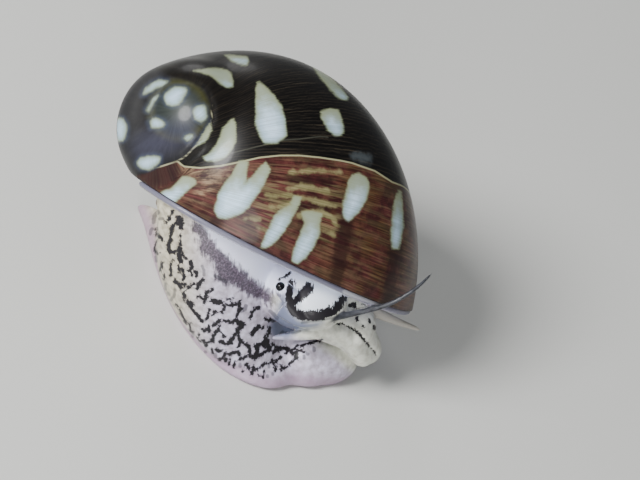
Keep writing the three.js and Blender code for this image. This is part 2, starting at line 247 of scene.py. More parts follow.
cutting = shell_form.modifiers.new("hollow", "BOOLEAN")
cutting.operation = "DIFFERENCE"
cutting.solver = "EXACT"
cutting.object = hollow_form


def settled(thing, name):
    """A new object at the origin with the thing's mesh as its modifiers leave it."""
    view = bpy.context.evaluated_depsgraph_get()
    mesh = bpy.data.meshes.new_from_object(thing.evaluated_get(view))
    made = bpy.data.objects.new(name, mesh)
    bpy.context.scene.collection.objects.link(made)
    mesh.name = name
    return made


bpy.context.view_layer.update()
shell = settled(shell_form, "shell_whole")
bpy.data.objects.remove(shell_form)
bpy.data.objects.remove(hollow_form)
shell.data.shade_smooth()
shell.data.materials.clear()


def to_linear(code):
    """A linear colour from an sRGB hex value."""
    parts = [(code >> shift & 255) / 255 for shift in (16, 8, 0)]
    return [part / 12.92 if part <= 0.04045 else ((part + 0.055) / 1.055) ** 2.4 for part in parts] + [1.0]


def add_node(material, kind, settings=None, links=None):
    """Adds a shader node, sets its properties and input values, and links its inputs.

    Stops are places and hex colours of a ramp. An input takes a number, a hex colour or another
    node's output, or the name of a value that the mesh keeps for each vertex.
    """
    node = material.node_tree.nodes.new(kind)
    for key, value in (settings or {}).items():
        if key == "stops":
            elements = node.color_ramp.elements
            while len(elements) < len(value):
                elements.new(1.0)
            for element, (place, code) in zip(elements, value):
                element.position = place
                element.color = to_linear(code)
        elif isinstance(key, str) and hasattr(node, key):
            setattr(node, key, value)
        else:
            node.inputs[key].default_value = value
    for key, value in (links or {}).items():
        if isinstance(value, float):
            node.inputs[key].default_value = value
        elif isinstance(value, int):
            node.inputs[key].default_value = to_linear(value)
        else:
            if isinstance(value, str):
                value = add_node(material, "ShaderNodeAttribute", {"attribute_name": value}).outputs["Fac"]
            material.node_tree.links.new(value, node.inputs[key])
    return node


def new_material(name):
    """A material without any nodes."""
    material = bpy.data.materials.new(name)
    material.use_nodes = True
    material.node_tree.nodes.clear()
    return material


# a distance in mm that counts as far from every mark
FAR_OFF = 9.0
# a ray to the camera starts so far off the surface, in mm, and a surface facing it by less is grazed
RAY_START = 0.15
GRAZING = 0.1


def distance_to_line(places, line):
    """How far each place is from a line of picture points, in mm on the snail."""
    nearest = np.full(len(places), 1e9)
    for start, end in zip(line[:-1], line[1:]):
        start, run = np.array(start, float), np.array(end, float) - np.array(start, float)
        share = np.clip(((places - start) @ run) / (run @ run), 0, 1)
        gap = np.linalg.norm(places - start - share[:, None] * run, axis=1)
        nearest = np.minimum(nearest, gap)
    return nearest / PIXELS_PER_MM


def distance_to_patch(places, outline):
    """The same for a closed outline, and less than zero inside it."""
    closed = list(outline) + [outline[0]]
    inside = np.zeros(len(places), bool)
    for (ax, ay), (bx, by) in zip(closed[:-1], closed[1:]):
        if ay == by:
            continue
        crosses = (places[:, 1] < ay) != (places[:, 1] < by)
        at = ax + (places[:, 1] - ay) * (bx - ax) / (by - ay)
        inside ^= crosses & (places[:, 0] < at)
    return np.where(inside, -1, 1) * distance_to_line(places, closed)


def distance_to_marks(places, marks):
    """How far each place is from the edge of the nearest mark: a width in pixels, then a line."""
    least = np.full(len(places), FAR_OFF)
    for mark in marks:
        least = np.minimum(least, distance_to_line(places, mark[1:]) - mark[0] / 2 / PIXELS_PER_MM)
    return least


def vertex_places(mesh):
    """A mesh's vertices as rows of numbers, in metres."""
    flat = np.empty(len(mesh.vertices) * 3)
    mesh.vertices.foreach_get("co", flat)
    return flat.reshape(-1, 3)


def facing_camera(mesh):
    """How squarely each vertex faces the camera, 1 at most, and -1 where the mesh itself hides it."""
    form = bmesh.new()
    form.from_mesh(mesh)
    tree = BVHTree.FromBMesh(form)
    form.free()
    seen = []
    for vertex in mesh.vertices:
        way = (CAMERA_AT - vertex.co).normalized()
        facing = vertex.normal.dot(way)
        hidden = facing > GRAZING and tree.ray_cast(vertex.co + way * RAY_START * MM, way)[0] is not None
        seen.append(-1 if hidden else facing)
    return np.array(seen)


def store(mesh, **kept):
    """Keeps numbers for each vertex under their names, for the materials to read."""
    for name, values in kept.items():
        attribute = mesh.attributes.new(name, "FLOAT", "POINT")
        attribute.data.foreach_set("value", np.asarray(values, np.float32))


# Where its marks lie: outlines of the white drops and lines of growth, in pixels of the picture
ARREST_LINE = (
    (176, 161), (184, 166.5), (200, 168), (220, 166), (240, 162), (260, 157.5), (280, 155.5), (300, 155.5),
    (320, 157.5), (340, 160.5), (352, 163), (375, 171), (392, 182),
)
BELOW_ARREST = ((440, 200), (440, 340), (400, 340), (135, 200), (135, 172), (160, 167))
OLDER_LINE = ((225, 155), (260, 146), (285, 140), (300, 139), (320, 136.5))
SUTURE = (
    (144, 174), (160, 167), (178, 161), (185.5, 156.5), (195.5, 146.5), (205, 133), (212, 120), (212, 105),
    (205, 88), (190, 80), (170, 80), (160, 85), (148, 100), (150, 125),
)
CAP_CENTRE = (178, 110)
# a painted sheen: a bluish reflection laid into the colour of the dome's lower part, along this line
PAINTED_SHEEN_LINE = ((146, 146), (163, 141), (182, 130))
SUTURE_DEPTH = 0.1
SUTURE_HALF_WIDTH = 0.22
# the outline of the older whorls' dome, beyond where the suture runs out
DOME_BACK = ((170, 76), (150, 66), (120, 80), (105, 110), (105, 150), (130, 176))
DROPS = (
    ((114, 121), (118, 118), (123, 118.5), (126, 123), (127, 128), (126, 136), (122.5, 141), (118, 141.5),
     (114.5, 138), (112.5, 131)),
    ((140, 158), (148, 156), (155, 155.5), (160.5, 157), (160, 161), (156, 165.5), (152, 169), (148, 170.5),
     (142, 169), (137.5, 165.5), (137, 162)),
    ((148.5, 122), (152, 117.5), (157, 118), (162.5, 120), (166, 124), (163.5, 126.5), (158, 128.5),
     (151, 128)),
    ((163.5, 98), (165, 94), (169, 90), (175.5, 86.5), (182, 86.5), (186.5, 89), (186.5, 93), (183.5, 97),
     (181, 101.5), (178.5, 105), (172, 106), (166, 103.5)),
    ((192.5, 113), (193.5, 109), (198, 106), (203.5, 105), (206, 108), (206, 111.5), (207.5, 116.5),
     (204.5, 119.5), (200.5, 122), (195.5, 119.5)),
    ((183.5, 138.5), (186, 135), (190.5, 134), (193.5, 135.5), (191.5, 139), (187, 141.5)),
    ((142, 95), (146, 87.5), (152, 83), (159.5, 79.5), (167, 80.5), (162.5, 84.5), (156, 87.5), (151, 91)),
    ((158, 93.5), (158.5, 96), (155, 100.5), (151, 107), (147.5, 112), (146, 110), (149, 103.5), (152, 98)),
    ((234, 118.5), (235.5, 126), (236.5, 134.5), (235.5, 142), (232, 150.5), (224.5, 158), (214, 162),
     (206.5, 161), (203, 157), (207.5, 155), (211.5, 151.5), (214, 147.5), (217, 143), (220.5, 135.5),
     (222, 129), (226.5, 125), (231, 119.5)),
    ((211, 123), (211.5, 129), (208.5, 137), (205, 142), (201, 144), (195.5, 146.5), (198, 142.5),
     (202, 136.5), (205.5, 130.5), (208.5, 125)),
    ((192.5, 70.5), (201, 69.5), (211.5, 68), (220, 68), (227.5, 70), (231.5, 74), (233, 81), (232.5, 87),
     (227.5, 87.5), (221, 85), (216, 80), (210.5, 76), (203, 73)),
    ((224.5, 55), (231, 55), (239.5, 55.5), (247, 57), (249, 61), (247, 65), (240.5, 64.5), (232, 61.5)),
    ((264.5, 86), (268.5, 89.5), (274, 95), (279.5, 102.5), (283, 110), (285, 118), (286.5, 128),
     (287, 135.5), (282.5, 139.5), (277, 143), (268.5, 143.5), (263.5, 143), (261, 137.5), (257, 130.5),
     (255.5, 121), (255.5, 99), (256, 89.5), (257, 82), (260, 82)),
    ((312, 65.5), (316, 65), (320.5, 69), (329, 76), (335.5, 81.5), (342.5, 89.5), (348, 96.5),
     (348.5, 100), (342.5, 100.5), (338, 98), (331.5, 91), (323.5, 81.5), (316.5, 73)),
    ((320.5, 111.5), (329, 109), (338.5, 109.5), (340.5, 115.5), (343, 124), (344, 132), (341, 136.5),
     (334.5, 136), (329, 132), (325, 125), (322, 118.5)),
    ((239, 161), (248.5, 160.5), (248, 167), (245.5, 183), (253.5, 175), (260, 167), (266, 161.5),
     (270, 169), (267.5, 177), (263.5, 186.5), (256.5, 196), (249.5, 206), (243, 212.5), (233, 217.5),
     (225, 219.5), (217, 217), (214.5, 211), (215.5, 205), (218, 194), (224.5, 183.5), (232, 174)),
    ((182, 176.5), (188, 177), (195.5, 179.5), (197, 182.5), (193.5, 186), (189, 189), (185, 193),
     (179.5, 198.5), (174, 204), (164.5, 203.5), (161.5, 197.5), (160.5, 193), (164.5, 191), (171, 188),
     (177.5, 182.5)),
    ((294, 196), (301.5, 197), (299.5, 204.5), (294.5, 214), (290.5, 222), (285, 230.5), (279, 238),
     (271.5, 245.5), (266, 248), (261, 247), (262, 241.5), (266, 233), (270, 225), (274, 216.5),
     (279.5, 210), (290.5, 204.5)),
    ((301.5, 212), (312.5, 210.5), (322, 213.5), (320.5, 221), (319.5, 226.5), (320.5, 233), (316.5, 241.5),
     (312.5, 249.5), (306, 258), (298, 264), (292, 262), (293, 250), (296, 242.5), (300, 234.5),
     (304, 223.5)),
    ((352, 174.5), (359, 173), (366, 177), (369, 182.5), (369, 191), (366, 200.5), (360.5, 210),
     (353.5, 218), (348.5, 222.5), (344, 219.5), (342, 212.5), (343, 203), (346, 192), (348.5, 181)),
    ((398.5, 190), (401.5, 192), (402.5, 203), (403.5, 214), (403.5, 226.5), (401.5, 240), (398.5, 249),
     (392.5, 249), (390.5, 241.5), (391.5, 227.5), (392.5, 214), (394.5, 201.5)),
)
TAN_ZONE = (
    (262, 186), (285, 182), (330, 181), (341, 196), (342, 214), (338, 240), (318, 240), (300, 200),
    (284, 212), (262, 226), (254, 214),
)
PALE_ZONE = (
    (176, 161), (215, 168), (240, 163), (236, 175), (214, 188), (205, 205), (190, 200), (200, 182),
    (180, 172),
)
# tan bars that join the drops' tops, dark tongues on their lip side and a grey cloud, each mark as
# a width and then a line
TAN_BARS = (
    (5, (271, 207), (284, 207), (293, 203), (296, 198), (304, 198), (318, 201), (334, 206)),
    (4, (266, 195), (280, 196), (291, 195)), (5, (289, 189), (300, 186.5), (314, 188), (326, 191)),
    (5, (299, 216), (307, 212), (322, 212), (332, 218), (336, 226)), (4, (319, 229), (334, 235)),
    (3, (245, 218), (260, 220)), (3, (258, 228), (272, 231)), (4, (340, 172), (318, 171), (290, 172)),
)
DARK_TONGUES = (
    (14, (347, 221), (341, 250), (335, 285)), (12, (396, 248), (391, 285), (386, 318)),
    (10, (222, 218), (212, 228), (203, 237)), (8, (264, 247), (258, 262)), (9, (296, 264), (291, 278)),
    (8, (298, 205), (312, 205), (326, 210)), (26, (140, 176), (168, 172)), (8, (290, 180), (330, 181)),
)
GREY_CLOUD = ((9, (356, 156), (368, 159)),)
DOME_DROPS = 8
# of the other drops, those that are yellow-green all over
DULL_DROPS = (0, 1, 2, 5)
DULLNESS = 0.35
HORIZON_FADE = 4.0
LAST_TURN = 0.5
HIDDEN_DROPS = 40
HIDDEN_DROP_HALF = (1.5, 0.75)
HIDDEN_DROP_SPACING = 3.1
HIDDEN_DROP_SIZES = (0.55, 1.1)
HIDDEN_DROP_CLEARANCE = 1.2
HIDDEN_DROP_FROM_LIP = 1.6
HIDDEN_DROP_FLATNESS = 0.6
# how far from the coiling axis the fold between the lip's side and the older whorl reaches
FOLD_REACH = APERTURE_DEPTH + 1.8
random.seed(7)


def shell_places(points):
    """Turn round the coiling axis and angle round the whorl's section, for points in metres."""
    own = (np.asarray(points) / MM - np.array(APEX)) @ np.array(SHELL_TURN)
    reach = np.hypot(own[:, 0], own[:, 1])
    azimuth = np.arctan2(own[:, 1], own[:, 0])
    turns = np.full(len(own), -1.0)
    for step in range(4):
        size, old, stand_off = growth(turns), oldness(turns), hinge(turns)
        turns = -azimuth - np.arcsin(np.minimum(stand_off / np.maximum(reach, 1e-3), 1))
        turns = np.where(turns > LAST_TURN, turns - 2 * math.pi, turns)
    along = np.sqrt(np.maximum(reach ** 2 - stand_off ** 2, 0))
    above = own[:, 2] - size * LIP_CENTRE_Z * (1 - OLD_LIFT * old)
    angles = np.arctan2(above, along - size * LIP_CENTRE_X)
    return turns, angles


def thrown_on(tree, places):
    """The points of a surface that the camera sees at places in the picture."""
    hits = []
    for across, down in places:
        slant = Vector((across - PICTURE_WIDTH / 2, PICTURE_HEIGHT / 2 - down, 0)) / PICTURE_WIDTH
        slant.z = -CAMERA_LENS / SENSOR_WIDTH
        hits.append(tree.ray_cast(CAMERA_AT, (camera_turn @ slant).normalized())[0])
    return [hit for hit in hits if hit is not None]


spots = vertex_places(shell.data)
pictured = picture_place(spots)
facing = facing_camera(shell.data)
turns, sections = shell_places(spots)
outside_form = bmesh.new()
outside_form.from_mesh(shell.data)
shell_tree = BVHTree.FromBMesh(outside_form)
outside_form.free()


def since_line(line):
    """How far the shell had grown at each vertex since a line of growth, in mm along the whorl."""
    line_turns, line_sections = shell_places(thrown_on(shell_tree, line))
    order = np.argsort(line_sections)
    past = np.interp(sections, line_sections[order], line_turns[order])
    return (turns - past) * np.hypot(own_places[:, 0], own_places[:, 1])


own_places = (spots / MM - np.array(APEX)) @ np.array(SHELL_TURN)
drops = np.full(len(spots), FAR_OFF)
for outline in DROPS:
    drops = np.minimum(drops, distance_to_patch(pictured, outline))
drops += HORIZON_FADE * np.maximum(0, -facing - 0.05)
from_axis = np.hypot(own_places[:, 0], own_places[:, 1])
drops += np.where((facing < 0.12) & (from_axis < FOLD_REACH), FAR_OFF, 0.0)
normals = np.array([vertex.normal for vertex in shell.data.vertices])
outward = normals @ np.array(SHELL_TURN.col[1]) > -0.3
clear = (drops > HIDDEN_DROP_CLEARANCE) & (own_places[:, 1] > HIDDEN_DROP_FROM_LIP - APERTURE_DEPTH)
outside = np.flatnonzero((facing < -0.3) & outward & clear)
seeds = []
for index in random.sample(list(outside), len(outside)):
    if all(np.linalg.norm(spots[index] - spots[other]) > HIDDEN_DROP_SPACING * MM for other in seeds):
        around = np.linalg.norm(spots - spots[index], axis=1) < HIDDEN_DROP_HALF[0] * MM
        if (normals[around] @ normals[index]).min() > HIDDEN_DROP_FLATNESS:
            seeds.append(index)
axis = np.array(SHELL_TURN.col[2])
for index in seeds[:HIDDEN_DROPS]:
    away = (spots - spots[index]) / MM
    along = np.cross(axis, spots[index] - np.array(APEX) * MM)
    along -= normals[index] * (along @ normals[index])
    along /= np.linalg.norm(along)
    across = np.cross(normals[index], along)
    size = random.uniform(*HIDDEN_DROP_SIZES)
    long_way = away @ along / (HIDDEN_DROP_HALF[0] * size)
    short_way = away @ across / (HIDDEN_DROP_HALF[1] * size) * (1 + 0.35 * long_way)
    ring = (np.hypot(long_way, short_way) - 1) * HIDDEN_DROP_HALF[1] * size
    near = (np.linalg.norm(away, axis=1) < 3) & (normals @ normals[index] > 0.4)
    drops = np.minimum(drops, np.where(near, ring, FAR_OFF))
tops = np.zeros(len(spots))
for number, outline in enumerate(DROPS[DOME_DROPS:]):
    high, low = min(place[1] for place in outline), max(place[1] for place in outline)
    inside = (distance_to_patch(pictured, outline) < 0.2) & (facing > -0.2)
    dull = DULLNESS if number in DULL_DROPS else 0
    tops = np.where(inside, (low - pictured[:, 1]) / (low - high) + dull, tops)
seen = facing > -0.3
suture = np.where(seen, distance_to_line(pictured, SUTURE), FAR_OFF)
dome_edge = distance_to_patch(pictured, SUTURE[:10] + DOME_BACK)
share = np.clip(facing / 0.4, 0, 1)
below_line = -distance_to_patch(pictured, ARREST_LINE + BELOW_ARREST)
newer = share * below_line + (1 - share) * since_line(ARREST_LINE[2:])
# the fold by the coiling axis belongs to the older part
newer -= np.where(facing < 0, 4.0 * np.clip(FOLD_REACH - from_axis, 0, 1), 0)
from_cap = pictured - np.array(CAP_CENTRE)
cap = np.linalg.norm(from_cap, axis=1)
store(
    shell.data, turn=turns, section=sections, since=newer, drop=drops, drop_top=tops,
    since_older=np.where((sections > 0.4) & (sections < 1.5), since_line(OLDER_LINE), FAR_OFF),
    tan_bar=np.where(seen, distance_to_marks(pictured, TAN_BARS), FAR_OFF),
    tongue=np.where(seen, distance_to_marks(pictured, DARK_TONGUES), FAR_OFF),
    cloud=np.where(seen, distance_to_marks(pictured, GREY_CLOUD), FAR_OFF),
    tan_zone=np.where(seen, distance_to_patch(pictured, TAN_ZONE), 0.6),
    pale_zone=np.where(seen, distance_to_patch(pictured, PALE_ZONE), FAR_OFF),
    suture=np.where(seen, distance_to_line(pictured, SUTURE[1:8]), FAR_OFF),
    dome=np.where(seen | (own_places[:, 2] > 0), dome_edge, FAR_OFF),
    sheen=distance_to_line(pictured, PAINTED_SHEEN_LINE), cap=cap / PIXELS_PER_MM,
    cap_across=from_cap[:, 0] / cap, cap_down=from_cap[:, 1] / cap, edge=own_places[:, 1] + APERTURE_DEPTH,
)
groove = SUTURE_DEPTH * np.exp(-((suture / SUTURE_HALF_WIDTH) ** 2)) * MM
shell.data.vertices.foreach_set("co", (spots - normals * groove[:, None]).ravel())


def summed(material, start, *terms):
    """A first value and others added to it, each with the number that it is multiplied by."""
    for value, factor in terms:
        links = {0: value, 1: factor, 2: start}
        start = add_node(material, "ShaderNodeMath", {"operation": "MULTIPLY_ADD"}, links).outputs[0]
    return start


def share_of(material, value, full, none, most=1.0, within=1.0):
    """A share that runs smoothly from its most, at one value, to nothing at another."""
    share = add_node(
        material, "ShaderNodeMapRange",
        {"interpolation_type": "SMOOTHSTEP", 1: full, 2: none, 3: most, 4: 0.0}, {0: value}).outputs[0]
    return add_node(material, "ShaderNodeMath", {"operation": "MULTIPLY"}, {0: share, 1: within}).outputs[0]


def painted(material, below, above, value, full, none, most=1.0, within=1.0):
    """One colour laid over another in a share of a value."""
    links = {0: share_of(material, value, full, none, most, within), 6: below, 7: above}
    return add_node(material, "ShaderNodeMix", {"data_type": "RGBA"}, links).outputs[2]


def along_lines(material, first, second, lines, sides, detail):
    """Noise drawn out along lines of growth: so many lines a radian, so many breaks across."""
    vector = add_node(material, "ShaderNodeCombineXYZ", links={
        0: summed(material, 0.0, (first, lines)), 1: summed(material, 0.0, (second, sides))})
    return add_node(
        material, "ShaderNodeTexNoise", {"Scale": 1.0, "Detail": detail, "Roughness": 0.6},
        {0: vector.outputs[0]}).outputs[0]


# Dark red-brown shell under a film of water: fine lines of growth, black on the older part, white
# drops with a thin yellow-green rim, and small clear highlights.
wet_shell = new_material("wet_shell")
fine = along_lines(wet_shell, "turn", "section", 95.0, 1.6, 3.0)
broad = along_lines(wet_shell, "turn", "section", 14.0, 9.0, 3.0)
soft = along_lines(wet_shell, "turn", "section", 6.0, 5.0, 1.5)
place = add_node(wet_shell, "ShaderNodeTexCoord").outputs["Object"]
# a 0.5 mm wobble for the edges of marks, and clouds of about 1.5 mm
wobble = add_node(wet_shell, "ShaderNodeTexNoise", {"Scale": 2000.0, "Detail": 3.0}, {0: place}).outputs[0]
wobble = summed(wet_shell, -0.5, (wobble, 1.0))
clouds = add_node(wet_shell, "ShaderNodeTexNoise", {"Scale": 700.0, "Detail": 3.0}, {0: place}).outputs[0]
new_part = add_node(wet_shell, "ShaderNodeValToRGB", {"stops": (
    (0.3, 0x2A1112), (0.46, 0x3E1C1C), (0.6, 0x522C29), (0.78, 0x744C42))}, {0: fine}).outputs[0]
new_part = painted(wet_shell, new_part, 0x210E0E, soft, 0.56, 0.4, 0.7)
new_part = painted(wet_shell, new_part, 0x5E3A30, broad, 0.66, 0.45, 0.4)
golden = add_node(wet_shell, "ShaderNodeValToRGB", {"stops": (
    (0.35, 0x2A180F), (0.5, 0x412A1B), (0.7, 0x664A31))}, {0: fine}).outputs[0]
new_part = painted(
    wet_shell, new_part, golden, clouds, 0.35, 0.6, within=share_of(wet_shell, "section", 0.05, 0.6))
# tan and brown bands of about 0.4 mm that follow the lines of growth
tan = add_node(wet_shell, "ShaderNodeValToRGB", {"stops": (
    (0.35, 0x5F5A3A), (0.65, 0x8A845F))}, {0: fine}).outputs[0]
bands = along_lines(wet_shell, "turn", "section", 30.0, 2.2, 2.0)
banded = summed(wet_shell, 0.12, (share_of(wet_shell, "tan_zone", -0.3, 0.5), 0.3))
new_part = painted(wet_shell, new_part, tan, bands, 0.56, 0.46, within=banded)
tongue = summed(wet_shell, "tongue", (wobble, 0.8))
new_part = painted(wet_shell, new_part, 0x1E0D0E, tongue, -0.25, 0.35, 0.75)
tan_bar = summed(wet_shell, "tan_bar", (wobble, 0.5), (fine, 0.3))
new_part = painted(wet_shell, new_part, tan, tan_bar, 0.03, 0.27, 0.8)
# ridges 0.5 mm apart near the right edge, closer towards the coiling axis
wave = summed(wet_shell, 0.0, ("turn", 210.0), (broad, 9.0))
wave = add_node(wet_shell, "ShaderNodeMath", {"operation": "SINE"}, {0: wave}).outputs[0]
old_part = add_node(wet_shell, "ShaderNodeValToRGB", {"stops": (
    (0.36, 0x050404), (0.5, 0x0C0A09), (0.64, 0x1E1A15), (0.8, 0x3C352A))},
    {0: summed(wet_shell, fine, (wave, 0.09))}).outputs[0]
since = summed(wet_shell, "since", (wobble, 0.04))
colour = painted(wet_shell, new_part, old_part, since, -0.02, 0.04)
# the pale patch where the newer part begins
straw = add_node(wet_shell, "ShaderNodeValToRGB", {"stops": (
    (0.3, 0x5A4534), (0.7, 0x9A8467))}, {0: fine}).outputs[0]
pale = share_of(wet_shell, "pale_zone", -0.35, 0.25, within=share_of(wet_shell, "since", 0.04, 0.0))
colour = painted(wet_shell, colour, straw, broad, 0.66, 0.4, 0.75, pale)
# the line where growth stopped for a time, and a fainter one before it
GROWTH_LINES = (("since", 0x9C9A78, 0.03, 0.07, 0.8), ("since_older", 0x7A7B6C, 0.02, 0.06, 0.15))
for name, line_colour, full, none, most in GROWTH_LINES:
    off_line = add_node(wet_shell, "ShaderNodeMath", {"operation": "ABSOLUTE"}, {0: name}).outputs[0]
    colour = painted(wet_shell, colour, line_colour, off_line, full, none, most)
colour = painted(wet_shell, colour, 0x5C6468, summed(wet_shell, "cloud", (wobble, 0.8)), -0.3, 0.25, 0.4)
# the spire's dome, glassy and grey-blue, with fine lines that run out from its tip and a painted bluish
# sheen low on it
dome = share_of(wet_shell, "dome", -0.1, 0.12)
dome_colour = add_node(wet_shell, "ShaderNodeValToRGB", {"stops": (
    (0.0, 0x2E342E), (0.22, 0x262B2A), (0.3, 0x36361F), (0.36, 0x1D1C1E), (0.6, 0x17171A),
    (0.9, 0x100F11))},
    {0: summed(wet_shell, 0.0, ("cap", 1 / 6))}).outputs[0]
outward = add_node(wet_shell, "ShaderNodeCombineXYZ", links={
    0: "cap_across", 1: "cap_down", 2: summed(wet_shell, 0.0, ("cap", 0.06))}).outputs[0]
rays = add_node(
    wet_shell, "ShaderNodeTexNoise", {"Scale": 9.0, "Detail": 5.0, "Roughness": 0.75},
    {0: outward}).outputs[0]
# painted sheen: a bluish reflection on the dome's lower part
dome_colour = painted(wet_shell, dome_colour, 0x3D3E50, "sheen", 0.0, 1.6, 0.5)
dome_colour = painted(wet_shell, dome_colour, 0x595853, rays, 0.68, 0.5, 0.08)
dome_colour = painted(wet_shell, dome_colour, 0x121113, rays, 0.36, 0.52, 0.25)
colour = painted(wet_shell, colour, dome_colour, "dome", -0.1, 0.12)
colour = painted(wet_shell, colour, 0xA3A184, "suture", 0.02, 0.09, 0.5)
# drops: bluish white in the middle, yellow-green at the rim and the top end, with soft edges that
# run a little along the lines of growth
drop = summed(wet_shell, -0.12, ("drop", 1.0), (wobble, 0.2), (fine, 0.24))
colour = painted(wet_shell, colour, 0x56617A, drop, -0.1, 0.35, 0.3, dome)
white = add_node(wet_shell, "ShaderNodeValToRGB", {"stops": (
    (0.0, 0x767C5C), (0.12, 0x86958A), (0.4, 0x9CB3C2), (1.0, 0xBED6EA))},
    {0: summed(wet_shell, 0.0, (drop, -1.6))}).outputs[0]
white = painted(wet_shell, white, 0x7E9298, fine, 0.6, 0.4, 0.4)
white = painted(wet_shell, white, 0x81876A, summed(wet_shell, "drop_top", (wobble, 0.4)), 0.85, 0.3, 0.85)
colour = painted(wet_shell, colour, white, drop, -0.08, 0.1)
colour = painted(wet_shell, colour, 0x1E1418, "edge", 0.03, 0.09)
bump = add_node(
    wet_shell, "ShaderNodeBump", {"Strength": 0.2, "Distance": 0.00002},
    {"Height": summed(wet_shell, fine, (broad, 1.5))})
shader = add_node(
    wet_shell, "ShaderNodeBsdfPrincipled",
    {"Roughness": 0.36, "Specular IOR Level": 0.16, "Coat Weight": 0.1, "Coat Roughness": 0.1},
    {"Base Color": colour, "Normal": bump.outputs[0]})
add_node(wet_shell, "ShaderNodeOutputMaterial", links={"Surface": shader.outputs["BSDF"]})
shell.data.materials.append(wet_shell)
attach(shell, "root")
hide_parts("shell")

# Skin
# The living body: sole, flank, head, snout, feelers and the mantle's edge under the lip. Wet
# grey-white flesh in one piece, see-through along the thin margins, marked in black and purple.
FOOT_MIDDLE_X = 3.0
FOOT_MIDDLE_Y = -0.2
FOOT_FRONT = 5.4
FOOT_TAIL = 12.6
FOOT_SIDE = 5.3
RIGHT_SIDE = 5.9
FRONT_NOTCH = 0.1
TAIL_TAPER = 2.6
MARGIN_HEIGHT = 0.35
SOLE_INSET = 0.04
FOOT_HEIGHT = 1.9
NECK_INSET = 0.9
NECK_SET_BACK = 3.6
FRONT_WAIST = 3.4
REAR_WAIST = 1.8
LEFT_WAIST = 1.6
RIGHT_BULGE = 1.0
REAR_FULLNESS = 0.85
MANTLE_PROFILE = (
    (1.2, 0.6), (0.4, 0.52), (0.06, 0.26), (-0.06, 0.16), (-0.2, 0.13), (-0.31, 0.17), (-0.37, 0.35),
    (-0.4, 0.9),
)
HEAD_TURN = math.radians(22)
HEAD_CENTRE = (5.6, -2.1, 6.6)
HEAD_HALF = (2.1, 2.3, 1.65)
NECK_CENTRE = (4.4, -1.9, 6.0)
NECK_HALF = (2.6, 2.6, 2.3)
SNOUT_PATH = ((6.0, -1.6, 5.2), (7.6, 0.3, 4.4), (8.5, 1.6, 3.2), (8.9, 2.4, 2.2))
SNOUT_WIDTHS = (1.7, 1.45, 1.3, 1.0)
SNOUT_THICKNESSES = (1.3, 1.3, 1.15, 0.9)
LOBE_PATH = (
    (5.4, -4.95, 4.18), (6.42, -3.55, 4.71), (7.12, -2.51, 5.12), (7.72, -1.44, 5.14), (8.4, -0.4, 4.41),
    (9.0, 0.87, 3.16), (9.2, 1.53, 2.36),
)
LOBE_RADII = (0.12, 0.36, 0.46, 0.54, 0.62, 0.75, 0.75)
CHEEK_CENTRE = (8.05, 0.7, 4.6)
CHEEK_HALF = (1.15, 1.7, 1.25)
PROPODIUM_CENTRE = (7.15, 0.0, 1.0)
PROPODIUM_HALF = (2.6, 1.45, 1.75)
PROPODIUM_TURN = math.radians(58)
TENTACLE_RIGHT = (
    (4.9, -4.1, 6.5), (6.3, -3.95, 6.3), (7.1, -3.1, 6.65), (8.1, -1.6, 7.3), (9.3, -0.1, 8.5),
    (9.9, 1.1, 9.8), (10.0, 2.5, 10.9),
)
TENTACLE_RIGHT_RADII = (1.1, 0.58, 0.3, 0.21, 0.17, 0.15, 0.11)
TENTACLE_LEFT = ((5.9, 0.0, 6.2), (7.4, 1.9, 5.4), (9.0, 3.2, 5.1), (10.6, 4.4, 5.0))
TENTACLE_LEFT_RADII = (0.8, 0.42, 0.28, 0.14)
EYE_RIGHT = (4.25, -4.9, 7.8)
EYE_LEFT = (5.8, 2.7, 4.9)
STALK_RIGHT_ROOT = (5.3, -3.7, 6.6)
STALK_LEFT_ROOT = (5.5, 0.6, 5.6)
STALK_RADII = (0.7, 0.5)
SKIN_VOXEL = 0.078
SKIN_SMOOTHING = 6
SKIN_KEPT = 0.47


def loft(form, around, along, place):
    """Adds a closed tube of rings to a form: place(angle, level) gives a point, level 0 to 1."""
    sheet = bmesh.ops.create_grid(form, x_segments=along + 2, y_segments=around, size=0.5)["verts"]
    for vert in sheet:
        row = round((vert.co.x + 0.5) * (along + 2)) - 1
        level = min(max(row, 0), along) / along
        if 0 <= row <= along:
            vert.co = place(2 * math.pi * (vert.co.y + 0.5), level)
        else:
            ring = [place(2 * math.pi * step / around, level) for step in range(around)]
            vert.co = sum(ring, Vector()) / around
    bmesh.ops.remove_doubles(form, verts=sheet, dist=1e-5)


def sole_edge(angle):
    """The outline of the sole at an angle round the foot: 0 in front, a quarter turn to the left."""
    length = FOOT_FRONT if math.cos(angle) > 0 else FOOT_TAIL
    width = abs(math.sin(angle)) ** (1 if math.cos(angle) > 0 else TAIL_TAPER)
    side = width * FOOT_SIDE if math.sin(angle) > 0 else -width * RIGHT_SIDE
    notch = 1 - FRONT_NOTCH * math.exp(-(((math.remainder(angle, 2 * math.pi) + 0.5) / 0.22) ** 2))
    return Vector((FOOT_MIDDLE_X + length * math.cos(angle) * notch, FOOT_MIDDLE_Y + side * notch, 0))


def foot_surface(angle, level):
    """The foot's flat sole, thin edge and low rounded back."""
    middle = Vector((FOOT_MIDDLE_X - 3.5, FOOT_MIDDLE_Y, 0))
    if level < 0.05:
        return sole_edge(angle).lerp(middle, SOLE_INSET)
    rise = max(0, (level - 0.1) / 0.9) * math.pi / 2
    point = sole_edge(angle).lerp(middle, 1 - math.cos(rise * 0.9) ** 0.8)
    point.z = MARGIN_HEIGHT + (FOOT_HEIGHT - MARGIN_HEIGHT) * math.sin(rise)
    return point


def lip_ring(angle, inset, depth):
    """A point inside the lip at an angle round it, so far in from the shell's outside."""
    return SHELL_SEAT @ inside_lip(LIP_START + angle, inset, depth)


